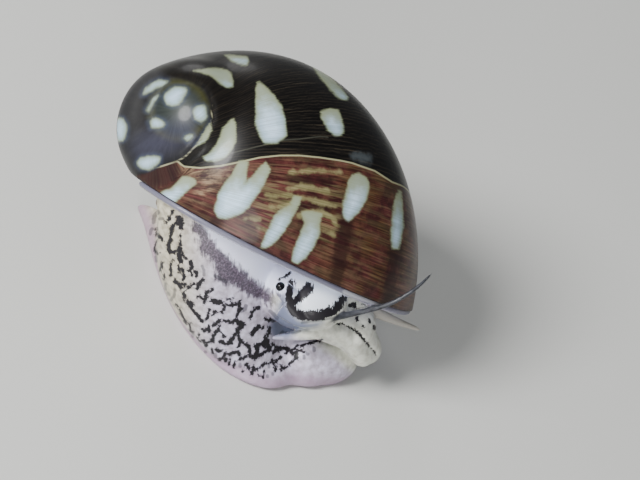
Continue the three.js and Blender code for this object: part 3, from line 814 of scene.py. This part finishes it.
def column_surface(angle, level):
    """The body from the sole, level 0, up into the shell, level 1."""
    sole = sole_edge(angle).lerp(Vector((FOOT_MIDDLE_X - 2, FOOT_MIDDLE_Y, 0)), SOLE_INSET)
    point = sole.lerp(lip_ring(angle, NECK_INSET, 0), level)
    cos, sin = math.cos(angle), math.sin(angle)
    waist = math.sin(math.pi * level ** 0.7)
    front = max(cos, 0) ** 1.5 * FRONT_WAIST
    rear = max(-cos, 0) ** 1.5 * REAR_WAIST * (1 - REAR_FULLNESS * max(-sin, 0))
    side = sin * (LEFT_WAIST if sin > 0 else RIGHT_BULGE)
    pull = waist * (front + rear + side) + NECK_SET_BACK * max(cos, 0) * level ** 2
    return point + Vector((-pull * cos, -pull * sin, MARGIN_HEIGHT * (1 - level)))


def mantle_surface(angle, level):
    """The mantle's rounded edge, tucked just inside the lip."""
    depth, inset = MANTLE_PROFILE[round(level * (len(MANTLE_PROFILE) - 1))]
    return lip_ring(angle, inset, depth)


def between(values, level):
    """The value at a level from 0 to 1 along an evenly spaced list."""
    place = min(level, 0.9999) * (len(values) - 1)
    step = int(place)
    return values[step] + (values[step + 1] - values[step]) * (place - step)


def on_curve(path, level):
    """A point and a heading on a smooth curve through the path's points."""
    points = [Vector(point) for point in path]
    points = [points[0] * 2 - points[1]] + points + [points[-1] * 2 - points[-2]]
    place = min(level, 0.9999) * (len(path) - 1)
    step = int(place)
    before, start, end, after = points[step:step + 4]
    share = place - step
    leave, arrive = (end - before) / 2, (after - start) / 2
    run = end - start
    bend, ease = 3 * run - 2 * leave - arrive, leave + arrive - 2 * run
    at = start + share * (leave + share * (bend + share * ease))
    return at, leave + share * (2 * bend + 3 * share * ease)


def tube(form, path, widths, thicknesses, around, along):
    """Adds a tapering tube with a rounded end that follows a path."""
    def place(angle, level):
        point, heading = on_curve(path, level)
        across = heading.cross(Vector((0, 0, 1))).normalized()
        above = across.cross(heading).normalized()
        end = math.sqrt(1 - max(0.0, (level - 0.88) / 0.121) ** 2)
        point = point + across * math.cos(angle) * between(widths, level) * end
        return point + above * math.sin(angle) * between(thicknesses, level) * end
    loft(form, around, along, place)


def ball(form, centre, half, heading=HEAD_TURN):
    """Adds a ball stretched along its own heading."""
    verts = bmesh.ops.create_uvsphere(form, u_segments=48, v_segments=24, radius=1)["verts"]
    seat = Matrix.Translation(centre) @ Matrix.Rotation(heading, 4, "Z") @ Matrix.Diagonal((*half, 1))
    bmesh.ops.transform(form, matrix=seat, verts=verts)


flesh = bmesh.new()
loft(flesh, 96, 32, foot_surface)
loft(flesh, 96, 32, column_surface)
ball(flesh, NECK_CENTRE, NECK_HALF)
ball(flesh, HEAD_CENTRE, HEAD_HALF)
to_shell = SHELL_SEAT.inverted()
for vert in flesh.verts:
    inside = to_shell @ vert.co
    inside.y = min(inside.y, MANTLE_PROFILE[-1][0] - APERTURE_DEPTH)
    vert.co = SHELL_SEAT @ inside
ball(flesh, CHEEK_CENTRE, CHEEK_HALF)
ball(flesh, PROPODIUM_CENTRE, PROPODIUM_HALF, PROPODIUM_TURN)
tube(flesh, SNOUT_PATH, SNOUT_WIDTHS, SNOUT_THICKNESSES, 48, 32)
tube(flesh, LOBE_PATH, LOBE_RADII, LOBE_RADII, 32, 32)
tube(flesh, TENTACLE_RIGHT, TENTACLE_RIGHT_RADII, TENTACLE_RIGHT_RADII, 24, 60)
tube(flesh, TENTACLE_LEFT, TENTACLE_LEFT_RADII, TENTACLE_LEFT_RADII, 24, 40)
tube(flesh, (STALK_RIGHT_ROOT, EYE_RIGHT), STALK_RADII, STALK_RADII, 24, 20)
tube(flesh, (STALK_LEFT_ROOT, EYE_LEFT), STALK_RADII, STALK_RADII, 24, 20)
loft(flesh, 160, len(MANTLE_PROFILE) - 1, mantle_surface)
bmesh.ops.recalc_face_normals(flesh, faces=flesh.faces)
flesh_form = placed(flesh, "flesh_form")
joining = flesh_form.modifiers.new("one_skin", "REMESH")
joining.mode = "VOXEL"
joining.voxel_size = SKIN_VOXEL
bpy.context.view_layer.update()
even_skin = settled(flesh_form, "even_skin")
bpy.data.objects.remove(flesh_form)
even = bmesh.new()
even.from_mesh(even_skin.data)
for step in range(SKIN_SMOOTHING):
    bmesh.ops.smooth_vert(even, verts=even.verts, factor=0.5, **ALL_WAYS)
for vert in even.verts:
    vert.co.z = max(vert.co.z, 0) if vert.co.z < 0.04 else vert.co.z
bmesh.ops.transform(even, matrix=TO_METRES, verts=even.verts)
even.to_mesh(even_skin.data)
even.free()
# what the camera doesn't see is thinned, so that the marked side can keep its fine faces
places = vertex_places(even_skin.data) / MM
within_shell = (places - np.array(APEX)) @ np.array(SHELL_TURN.col[1]) > 0.2 - APERTURE_DEPTH
unseen = np.flatnonzero((facing_camera(even_skin.data) < -0.1) | within_shell)
spare = even_skin.vertex_groups.new(name="spare")
spare.add([int(index) for index in unseen], 1, "ADD")
thinning = even_skin.modifiers.new("thinning", "DECIMATE")
thinning.ratio = SKIN_KEPT
thinning.vertex_group = spare.name
bpy.context.view_layer.update()
skin = settled(even_skin, "skin_whole")
bpy.data.objects.remove(even_skin)
skin.data.shade_smooth()

# Its marks: a width and then a line, in pixels of the picture
SNOUT_GROOVE = (
    (335, 324), (343, 323.5), (350, 326.5), (356, 331), (362, 337), (368, 344), (375, 352), (377, 356),
)
BLACK_MARKS = (
    (3.5, (172, 211.5), (170.5, 216), (169, 220), (166.5, 222)),
    (5, (178.5, 217.5), (181, 220), (182, 224), (180.5, 227.5)),
    (3.5, (178.5, 224), (175.5, 224), (172.5, 226), (171.5, 231), (170.5, 236)),
    (4.5, (170.5, 240), (169, 245), (168.5, 249), (170, 252)),
    (2.2, (181, 234), (181, 240), (180.5, 245), (180, 250)),
    (3.2, (157, 229), (156.5, 233.5), (158, 236), (162, 238.5), (163, 241)),
    (2, (157, 240), (155.5, 244), (154, 248.5), (157.5, 254), (160, 252.5)),
    (3.5, (170, 252), (174, 252.5), (177, 250.5), (179, 248)),
    (5, (180, 248), (179, 253), (179.5, 257), (181, 261)), (3.5, (180, 252), (183, 255), (185.5, 258.5)),
    (2.4, (163, 262.5), (161.5, 266), (160, 270.5)),
    (2.4, (173, 260), (171, 265), (171, 270), (171, 275.5)),
    (2.4, (180, 261), (178.5, 265), (178.5, 269), (180, 272)), (3, (182, 270), (184, 274), (183.5, 279)),
    (4.5, (190.5, 262.5), (192, 267), (190, 271)), (2.8, (188, 270), (191, 273), (192, 276)),
    (2.4, (194, 271), (197, 272), (196, 277)), (2, (164, 275), (164, 279)),
    (4, (175, 281), (179, 284), (180.5, 288)), (3.4, (180, 284), (184, 284), (187, 287)),
    (4, (202, 280), (198.5, 284.5), (197, 288)),
    (2.6, (198, 284), (194, 284), (190, 287), (186, 290), (184, 293), (184, 297), (186, 302)),
    (5, (187, 302), (192, 305)), (3, (190, 305), (192, 309), (195, 313)),
    (4, (195, 313), (199, 317), (202, 321)), (3, (202, 321), (205, 320), (208, 317)),
    (2, (175.5, 304), (179, 309), (182, 314), (185, 321), (187, 325)),
    (2.2, (190, 323), (190, 327), (190.5, 331), (192.5, 332)),
    (2.6, (197, 297), (200, 295.5), (203, 299), (204.5, 302)), (4, (206, 293), (205.5, 298), (204, 303)),
    (2.8, (208.5, 292), (211, 291), (213, 289.5)), (4.2, (212, 300), (215, 301), (218, 303), (221, 301.5)),
    (3, (221, 301.5), (224, 305), (225, 308), (222, 312)),
    (2.8, (225, 303), (228, 305.5), (233, 305.5), (236, 304)), (2, (209.5, 309), (208.5, 313)),
    (2.4, (215.5, 311), (212.5, 315)), (4, (219, 320), (216, 323.5), (213, 326)),
    (2.2, (228, 300), (230, 301), (232, 304)), (2.4, (229, 299.5), (233, 297)), (3, (225, 321), (228, 321)),
    (4.6, (232, 322), (235, 320), (238, 322), (243, 325), (240, 328)),
    (2.4, (236, 318), (238, 313), (240, 310), (242, 309)), (3.2, (239.5, 302), (239.5, 309)),
    (3.8, (202, 329), (204, 331), (208, 329), (209, 326)), (2, (209, 329), (208.5, 333)),
    (2.8, (220, 326), (218.5, 330), (216, 332)), (2.8, (219, 330), (222, 333), (225, 336)),
    (2.4, (215, 334), (212.5, 338), (211.5, 341)), (3, (198.5, 335), (198.5, 337)),
    (2.4, (200, 341), (202.5, 340.5), (205, 343)), (3.2, (206, 345.5), (209, 342.5), (213.5, 341)),
    (3.8, (220, 342), (223, 342), (225, 344.5), (229, 343)),
    (4, (229, 342), (232, 339), (234, 335), (237, 333), (237, 329)), (2.8, (231, 342), (232.5, 343.5)),
    (3, (238, 335), (240, 339), (241, 342), (246, 345), (249, 349)), (2.2, (240, 343), (237.5, 347.5)),
    (3, (212, 349), (212.5, 353)), (2.8, (217, 350), (218, 352), (222, 350)),
    (2.4, (226, 352), (224, 355), (222, 358.5), (219, 359.5)),
    (4, (230, 354), (234, 353), (238, 352), (239.5, 355)), (3, (239, 359), (243, 358), (246, 356)),
    (3, (225.5, 360), (225.5, 361)), (2.3, (231, 359), (229, 365)), (3, (235, 361), (233.5, 366)),
    (4, (246, 365), (249, 368)), (3, (252, 312), (254.5, 310), (257, 308), (259.5, 307.5)),
    (2.6, (252, 315), (250, 319)), (3, (265, 319), (268, 320), (271, 320.5), (274, 321)),
    (4.8, (252, 334), (254, 330), (257, 328), (259, 327)), (2.5, (259, 328), (263, 328)),
    (3.6, (269, 328), (269, 333), (267, 337), (264, 341), (260, 344), (255, 346)),
    (5.6, (266, 338), (267, 343), (269, 348)),
    (3.4, (242, 342), (246, 345), (249, 348), (250, 353), (250, 356)),
    (4.2, (255, 346), (258, 350), (256, 354), (256, 358)),
    (3.4, (250, 355), (256, 358), (259, 355), (263, 354), (266, 351)),
    (4, (262, 344), (266, 347), (270, 350)), (4.4, (272, 344), (276, 347), (281, 348), (287, 349)),
    (3, (273, 352), (276, 350), (281, 350)), (3, (276, 362), (278, 359), (281, 357)),
    (2.4, (285, 353.5), (288, 351.5)), (2.4, (291, 351), (294, 349), (298, 345.5)),
    (2.4, (301, 346), (306, 344.5), (312, 342.5), (318, 341), (321, 340)),
    (4, (293, 354), (296, 352), (296, 358)), (2.4, (296, 358), (292, 361), (289, 364)),
    (2, (297, 350), (301, 351), (305, 353)), (2.8, (261, 366), (265, 364), (270, 363), (272, 361.5)),
    (3.8, (257, 369), (260, 367.5)), (3, (253, 367), (255, 369.5)), (2.4, (253.5, 368), (252, 374)),
    (3, (272, 361), (274, 365), (276, 368), (275.5, 372)),
    (2.4, (281, 365), (281.5, 368), (285, 368), (289, 366)), (2.8, (280.5, 369), (281, 371)),
    (2, (242.5, 371.5), (242.5, 372.5)), (2, (264, 371), (264, 373)), (1.8, (259, 375), (259, 375.6)),
    (1.8, (263, 377), (263, 377.6)), (5, (291, 282), (289, 288)),
    (6.4, (289, 288), (288.5, 298), (290, 305)), (7.4, (290, 306), (294, 312.5), (300, 316)),
    (8.6, (300, 316), (308, 316.5), (318, 316), (326, 314)), (7, (326, 314.5), (334, 311), (340, 305)),
    (4.4, (340, 305), (343.5, 298)), (6.6, (309, 287.5), (304, 292), (300, 296.5)),
    (4.6, (299, 297), (294, 302), (291.5, 306)), (1.6, (278, 279), (284, 277), (290, 273)),
    (3.4, (357, 318), (357, 320)), (3, (370, 320), (370, 322)), (2.4, (363, 326), (363.5, 327)),
    (2.4, (374, 326), (374, 328)), (2.4, (380, 326), (380.5, 327)),
    (3.4, (350.5, 305), (353, 304), (355, 307)), (1.4, (362, 304), (367, 305), (372, 307)),
    # painted shade: the thin black line along the snout's groove
    (1.7, *SNOUT_GROOVE),
)
FAINT_MARKS = (
    (3, (158, 212), (155, 215), (154, 219), (153.5, 222)), (2, (160, 219), (163, 218.5)),
    (2, (152, 229), (150.5, 231), (150, 234)), (2, (156, 257), (156.5, 261)),
    (2, (202, 266), (204, 270), (204, 275)), (2, (165.5, 284), (165.5, 289)), (2, (168, 293), (169, 294.5)),
    (1.8, (175, 290), (174.5, 295), (171, 300)), (2.6, (270, 311), (274, 314), (277, 318)),
    (3, (246, 306), (245, 309), (241, 311)), (2, (193, 334), (193, 336)), (2, (216, 354), (215.5, 357)),
    (1.8, (205, 352), (206, 352)), (2.2, (240, 364), (240, 366)), (2.4, (304, 356), (304, 358)),
    (2.2, (307, 354), (308, 354)), (2.6, (314, 348), (314, 350)), (2, (269, 365), (269, 367)),
    (2, (267.5, 375.5), (267.5, 376.5)), (2, (273, 373.5), (273, 374.5)), (1.6, (281, 333), (283, 332)),
    (1.6, (286, 333), (289, 333)), (1.8, (292, 333), (296, 332.5), (300, 331)),
    (2.4, (215, 276), (221, 279), (226, 282)), (1.5, (302, 322.5), (318, 320.5), (340, 316.5)),
    (1.3, (340, 315), (352, 311), (362, 308.5), (375, 305)),
)
PURPLE_BAND = (
    (192, 221), (197, 221.5), (203, 227), (208, 234), (213, 240), (218, 248), (224, 254), (231, 261),
    (239, 267), (247, 274), (256, 282), (264, 288), (272, 293), (279, 296), (277, 300), (271, 305),
    (264, 301), (256, 297), (248, 297), (243, 292), (236, 285), (228, 284), (220, 281), (215, 277),
    (217, 270), (216, 263), (211, 257), (204, 255), (200, 249), (199, 242), (197, 235), (193, 230),
)
# the root of the far feeler, pale and smooth above the near one
PALE_ROOT = ((6.5, (346, 292), (358, 296), (370, 300), (384, 305)),)
# the bluish white zone under the lip: partly the neck's own pale colour, partly painted light where it is
# brightest
PALE_AND_LIT_ZONE = (
    (200, 214), (240, 236), (300, 265), (350, 290), (345, 300), (330, 312), (300, 312), (290, 304),
    (284, 300), (279, 296), (264, 288), (247, 274), (231, 261), (218, 248), (208, 234), (203, 227),
    (197, 221.5),
)
BLUE_ZONE = (
    (283, 292), (286, 303), (291, 313), (299, 320), (310, 323), (322, 322), (318, 326), (300, 331),
    (288, 338), (274, 338), (269, 330), (271, 320), (277, 310), (280, 300),
)
DOME_WHITE = (
    (297, 282), (310, 276), (345, 290), (342, 302), (332, 310), (318, 314), (302, 313), (294, 308),
    (292, 300),
)
GROOVE_DEPTH = 0.09
GROOVE_HALF_WIDTH = 0.14
HIDDEN_BAND = (1.5, 2.5)
HIDDEN_BAND_END = 4.0
FAR_BLUE_RADII = (1.2, 0.8)
HEAD_REACH = 2.2
EDGE_STEPS = 400
EDGE_HEIGHT = 0.15

spots = vertex_places(skin.data)
pictured = picture_place(spots)
facing = facing_camera(skin.data)
seen = facing > -0.02


def from_curve(path, radii, steps=80):
    """How far each vertex is outside a tapering tube along a path, in mm."""
    least = np.full(len(spots), FAR_OFF)
    for step in range(steps + 1):
        middle = np.array(on_curve(path, step / steps)[0]) * MM
        gap = np.linalg.norm(spots - middle, axis=1) / MM - between(radii, step / steps)
        least = np.minimum(least, gap)
    return least


lip_gap = -((spots / MM - np.array(APEX)) @ np.array(SHELL_TURN.col[1]) + APERTURE_DEPTH)
margin = np.full(len(spots), FAR_OFF)
for step in range(EDGE_STEPS):
    place = np.array(sole_edge(2 * math.pi * step / EDGE_STEPS) + Vector((0, 0, EDGE_HEIGHT))) * MM
    margin = np.minimum(margin, np.linalg.norm(spots - place, axis=1) / MM)
behind = np.maximum(0, HIDDEN_BAND_END - spots[:, 0] / MM)
hidden_band = np.maximum(HIDDEN_BAND[0] - lip_gap, lip_gap - HIDDEN_BAND[1]) + behind
far_blue = from_curve((STALK_LEFT_ROOT, EYE_LEFT), FAR_BLUE_RADII)
from_head = np.linalg.norm(spots / MM - np.array(HEAD_CENTRE), axis=1) - HEAD_REACH
head_gap = np.minimum(from_curve(SNOUT_PATH, SNOUT_WIDTHS), from_head)
store(
    skin.data,
    ink=np.where(seen, distance_to_marks(pictured, BLACK_MARKS), FAR_OFF),
    faint=np.where(seen, distance_to_marks(pictured, FAINT_MARKS), FAR_OFF),
    band=np.where(seen, distance_to_patch(pictured, PURPLE_BAND), np.maximum(hidden_band, 0.5 - head_gap)),
    bright=np.where(seen, distance_to_patch(pictured, PALE_AND_LIT_ZONE), lip_gap - HIDDEN_BAND[0] + behind),
    blue=np.where(seen, distance_to_patch(pictured, BLUE_ZONE), far_blue),
    dome_white=np.where(seen, distance_to_patch(pictured, DOME_WHITE), FAR_OFF),
    pale_root=np.where(seen, distance_to_marks(pictured, PALE_ROOT), FAR_OFF),
    across=pictured[:, 0] / PIXELS_PER_MM, down=pictured[:, 1] / PIXELS_PER_MM,
    lip_gap=lip_gap, margin=margin, head=head_gap, far_side=np.where(facing < 0.02, 1.0, 0.0),
    feeler=from_curve(TENTACLE_RIGHT[2:], TENTACLE_RIGHT_RADII[2:]),
    far_feeler=from_curve(TENTACLE_LEFT[1:], TENTACLE_LEFT_RADII[1:]),
)
normals = np.array([vertex.normal for vertex in skin.data.vertices])
groove = GROOVE_DEPTH * np.exp(-((distance_to_line(pictured, SNOUT_GROOVE) / GROOVE_HALF_WIDTH) ** 2))
groove = np.where(seen, groove, 0) * MM
spots -= normals * groove[:, None]
spots[:, 2] = np.maximum(spots[:, 2], 0)
skin.data.vertices.foreach_set("co", spots.ravel())

# Cool grey-white wet flesh: bluish white under the lip, partly its own pale colour and partly a painted
# pool of light, a purple dotted band, cream netted in black below it, and a pinkish see-through margin.
# Light sinks in a little and a wet film shines.
wet_skin = new_material("wet_skin")
place = add_node(wet_skin, "ShaderNodeTexCoord").outputs["Object"]
# mottles of about 0.4 mm, grains of 0.1 mm and edges that wander by 0.1 mm
mottle = add_node(wet_skin, "ShaderNodeTexNoise", {"Scale": 2500.0, "Detail": 3.0}, {0: place}).outputs[0]
grain = add_node(wet_skin, "ShaderNodeTexNoise", {"Scale": 9000.0, "Detail": 2.0}, {0: place}).outputs[0]
wander = summed(wet_skin, -0.5, (mottle, 1.0))
flank = add_node(wet_skin, "ShaderNodeValToRGB", {"stops": (
    (0.3, 0x98909D), (0.5, 0xB2ABBB), (0.7, 0xC8C3D6))}, {0: mottle}).outputs[0]
by_tail = add_node(wet_skin, "ShaderNodeValToRGB", {"stops": (
    (0.35, 0x99927F), (0.65, 0xC3BCA8))}, {0: mottle}).outputs[0]
flank = painted(wet_skin, flank, by_tail, "across", 10.5, 14.0)
# hairs of black 0.1 mm apart that stand up from the thick bands
hatch = summed(wet_skin, -0.5, (along_lines(wet_skin, "across", "down", 10.0, 1.6, 2.0), 1.0))
# painted light: the zone under the lip is painted paler than the neck's own colour, as if strongly lit
bright = summed(wet_skin, "bright", (wander, 0.6))
colour = painted(wet_skin, flank, 0xDADDF0, bright, -0.2, 0.35)
dots = add_node(wet_skin, "ShaderNodeValToRGB", {"stops": (
    (0.35, 0x251D27), (0.5, 0x3D323F), (0.65, 0x605464))}, {0: grain}).outputs[0]
band = summed(wet_skin, "band", (wander, 0.8), (hatch, 0.8))
colour = painted(wet_skin, colour, dots, band, -0.15, 0.25, 0.92)
cream = add_node(wet_skin, "ShaderNodeValToRGB", {"stops": (
    (0.3, 0xB2B2A5), (0.6, 0xD0D1C6))}, {0: mottle}).outputs[0]
colour = painted(
    wet_skin, colour, cream, "head", 0.2, 0.9, within=share_of(wet_skin, bright, 0.1, -0.1))
# the white dome by the eye, the blue-grey base of its stalk, the pink margin and the mantle's edge
colour = painted(wet_skin, colour, 0xDDE3EC, "dome_white", -0.1, 0.15)
colour = painted(wet_skin, colour, 0x626A84, "blue", -0.3, 0.35, 0.95)
colour = painted(wet_skin, colour, 0x9B8498, "margin", 0.5, 1.4, 0.8)
colour = painted(wet_skin, colour, 0x666575, "lip_gap", 0.26, 0.45)
# the net of the side away from the camera: cells of about 1.2 mm between broken black lines
drift = add_node(wet_skin, "ShaderNodeTexNoise", {"Scale": 1500.0, "Detail": 2.0}, {0: place}).outputs[1]
drift = add_node(
    wet_skin, "ShaderNodeVectorMath", {"operation": "SCALE", "Scale": 0.0006}, {0: drift}).outputs[0]
bent = add_node(wet_skin, "ShaderNodeVectorMath", {"operation": "ADD"}, {0: place, 1: drift}).outputs[0]
cells = add_node(
    wet_skin, "ShaderNodeTexVoronoi", {"feature": "DISTANCE_TO_EDGE", "Scale": 850.0}, {0: bent}).outputs[0]
net = summed(wet_skin, cells, (share_of(wet_skin, mottle, 0.62, 0.42), -0.16))
within = share_of(wet_skin, "head", 0.5, 0.1, within="far_side")
within = share_of(wet_skin, "margin", 0.9, 0.5, within=within)
within = share_of(wet_skin, "lip_gap", HIDDEN_BAND[1] + 0.4, HIDDEN_BAND[1], within=within)
colour = painted(wet_skin, colour, 0x1B191F, net, -0.02, 0.02, 0.9, within)
# the marks of the side that shows, with ragged upper edges on the dome, and painted shade in the snout's
# groove
colour = painted(wet_skin, colour, 0x26262D, summed(wet_skin, "faint", (wander, 0.1)), 0.0, 0.08, 0.6)
ragged = share_of(wet_skin, "dome_white", 0.1, 0.5, within=summed(wet_skin, -0.1, (hatch, 0.8)))
# the black marks, together with painted shade along the snout's groove
ink = summed(wet_skin, -0.15, ("ink", 1.0), (wander, 0.35), (grain, 0.3), (ragged, 1.0))
colour = painted(wet_skin, colour, 0x120E14, ink, -0.03, 0.06)
colour = painted(wet_skin, colour, 0x9A9AA2, "pale_root", -0.1, 0.1)
slate = add_node(wet_skin, "ShaderNodeValToRGB", {"stops": (
    (0.35, 0x1E1F24), (0.65, 0x3E4046))}, {0: mottle}).outputs[0]
colour = painted(wet_skin, colour, slate, "feeler", 0.0, 0.12)
colour = painted(wet_skin, colour, 0x99958D, "far_feeler", 0.0, 0.1)
bump = add_node(
    wet_skin, "ShaderNodeBump", {"Strength": 0.25, "Distance": 0.00004},
    {"Height": summed(wet_skin, mottle, (grain, 0.5))})
shader = add_node(
    wet_skin, "ShaderNodeBsdfPrincipled",
    {"Specular IOR Level": 0.32, "Coat Weight": 0.1, "Coat Roughness": 0.08, "Subsurface Weight": 0.12,
     "Subsurface Radius": (0.6, 0.4, 0.45), "Subsurface Scale": 0.0003},
    {"Base Color": colour, "Normal": bump.outputs[0],
     "Roughness": summed(wet_skin, 0.4, (share_of(wet_skin, ink, -0.03, 0.06), 0.2))})
add_node(wet_skin, "ShaderNodeOutputMaterial", links={"Surface": shader.outputs["BSDF"]})
skin.data.materials.clear()
skin.data.materials.append(wet_skin)
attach(skin, "root")
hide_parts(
    "mantle", "foot_front", "foot_middle", "foot_tail", "body_column", "head", "snout",
    "tentacle_right_base", "tentacle_right_middle", "tentacle_right_tip", "tentacle_left_base",
    "tentacle_left_tip", "eye_stalk_right", "eye_stalk_left",
)

# Eyes
# A small black ball set in the tip of each stalk: a cup of dark pigment, filled and covered with
# clear jelly.
EYE_RADIUS = 0.3

# Dark pigment under clear jelly: nearly black, smooth, with a small sharp highlight.
black_eye = new_material("black_eye")
shader = add_node(
    black_eye, "ShaderNodeBsdfPrincipled", {"Roughness": 0.12, "Specular IOR Level": 0.25},
    {"Base Color": 0x07070B})
add_node(black_eye, "ShaderNodeOutputMaterial", links={"Surface": shader.outputs["BSDF"]})
for name, middle in (("eye_right", EYE_RIGHT), ("eye_left", EYE_LEFT)):
    bead = bmesh.new()
    bmesh.ops.create_icosphere(bead, subdivisions=5, radius=EYE_RADIUS)
    bmesh.ops.translate(bead, vec=middle, verts=bead.verts)
    bmesh.ops.transform(bead, matrix=TO_METRES, verts=bead.verts)
    eye = placed(bead, name + "_whole")
    eye.data.shade_smooth()
    eye.data.materials.append(black_eye)
    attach(eye, "root")
    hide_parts(name)

# Operculum
# The half-moon lid that closes the shell, lying on the back of the tail. Limy and smooth, grown in
# a flat spiral from one corner.
LID_LENGTH = 7.0
LID_WIDTH = 4.4
LID_MIDDLE = (-6.3, 0.5, 2.85)
LID_PITCH = math.radians(-24)
LID_ROLL = math.radians(-20)
LID_CORNER = (-1.8, -2.6, 0.2)
LID_PROFILE = (
    (0.9, -0.25), (0.97, -0.23), (1.0, -0.12), (1.0, 0.08), (0.97, 0.18), (0.9, 0.24), (0.6, 0.25),
)
# where the straight side lies across the width
LID_STRAIGHT = 0.45


def lid_surface(angle, level):
    """The half-moon lid from its underside, level 0, to its upper side, level 1."""
    scale, height = LID_PROFILE[round(level * (len(LID_PROFILE) - 1))]
    across = LID_WIDTH * (LID_STRAIGHT - 0.5 + (max(math.cos(angle), 0) - LID_STRAIGHT) * scale)
    return Vector((across, LID_LENGTH / 2 * math.sin(angle) * scale, height))


lid = bmesh.new()
loft(lid, 160, len(LID_PROFILE) - 1, lid_surface)
lid_tilt = Matrix.Rotation(LID_ROLL, 4, "X") @ Matrix.Rotation(LID_PITCH, 4, "Y")
lid_seat = lid_tilt @ Matrix.Rotation(math.pi, 4, "Z")
bmesh.ops.transform(lid, matrix=TO_METRES @ Matrix.Translation(LID_MIDDLE) @ lid_seat, verts=lid.verts)
bmesh.ops.recalc_face_normals(lid, faces=lid.faces)
operculum = placed(lid, "operculum_whole")
operculum.data.shade_smooth()

# Grey-tan lime in curved lines of growth about 0.3 mm apart round the corner it grew from.
limy_lid = new_material("limy_lid")
place = add_node(limy_lid, "ShaderNodeTexCoord").outputs["Object"]
corner = (Matrix.Translation(LID_MIDDLE) @ lid_seat @ Vector(LID_CORNER)) * MM
from_corner = add_node(
    limy_lid, "ShaderNodeVectorMath", {"operation": "DISTANCE", 1: corner}, {0: place}).outputs["Value"]
grain = add_node(limy_lid, "ShaderNodeTexNoise", {"Scale": 1200.0, "Detail": 3.0}, {0: place}).outputs[0]
waves = add_node(limy_lid, "ShaderNodeMath", {"operation": "SINE"}, {
    0: summed(limy_lid, 0.0, (from_corner, 20000.0), (grain, 5.0))}).outputs[0]
lines = summed(limy_lid, grain, (waves, 0.12))
colour = add_node(limy_lid, "ShaderNodeValToRGB", {"stops": (
    (0.3, 0x4A4034), (0.5, 0x6A5C4B), (0.7, 0x877965))}, {0: lines}).outputs[0]
shader = add_node(
    limy_lid, "ShaderNodeBsdfPrincipled", {"Roughness": 0.4, "Specular IOR Level": 0.3},
    {"Base Color": colour})
add_node(limy_lid, "ShaderNodeOutputMaterial", links={"Surface": shader.outputs["BSDF"]})
operculum.data.materials.append(limy_lid)
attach(operculum, "root")
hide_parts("operculum")

# Floor and lights
# A plain pale floor under the sole, and three round soft lamps: a key from the side that the camera
# sees, a weaker one in front and a faint one behind.
floor_form = bmesh.new()
bmesh.ops.create_grid(floor_form, x_segments=1, y_segments=1, size=2)
floor = placed(floor_form, "floor")
pale_floor = new_material("pale_floor")
shader = add_node(pale_floor, "ShaderNodeBsdfPrincipled", {"Roughness": 0.9}, {"Base Color": 0xCFCFCB})
add_node(pale_floor, "ShaderNodeOutputMaterial", links={"Surface": shader.outputs["BSDF"]})
floor.data.materials.append(pale_floor)

world = bpy.data.worlds.new("studio")
world.use_nodes = True
world.node_tree.nodes["Background"].inputs["Color"].default_value = to_linear(0xE8ECF0)
world.node_tree.nodes["Background"].inputs["Strength"].default_value = 0.3
bpy.context.scene.world = world
LAMP_AIM = (0, 0, 0.007)
LAMPS = (
    ("key", (-0.1, -0.24, 0.21), 0.12, 1.9),
    ("front", (0.16, -0.26, 0.07), 0.14, 0.55),
    ("back", (-0.24, 0.16, 0.14), 0.14, 0.18),
)
for name, place, size, power in LAMPS:
    lamp_data = bpy.data.lights.new(name, "AREA")
    lamp_data.shape = "DISK"
    lamp_data.size = size
    lamp_data.energy = power
    lamp = bpy.data.objects.new(name, lamp_data)
    lamp.location = place
    lamp.rotation_euler = (Vector(LAMP_AIM) - Vector(place)).to_track_quat("-Z", "Y").to_euler()
    bpy.context.scene.collection.objects.link(lamp)
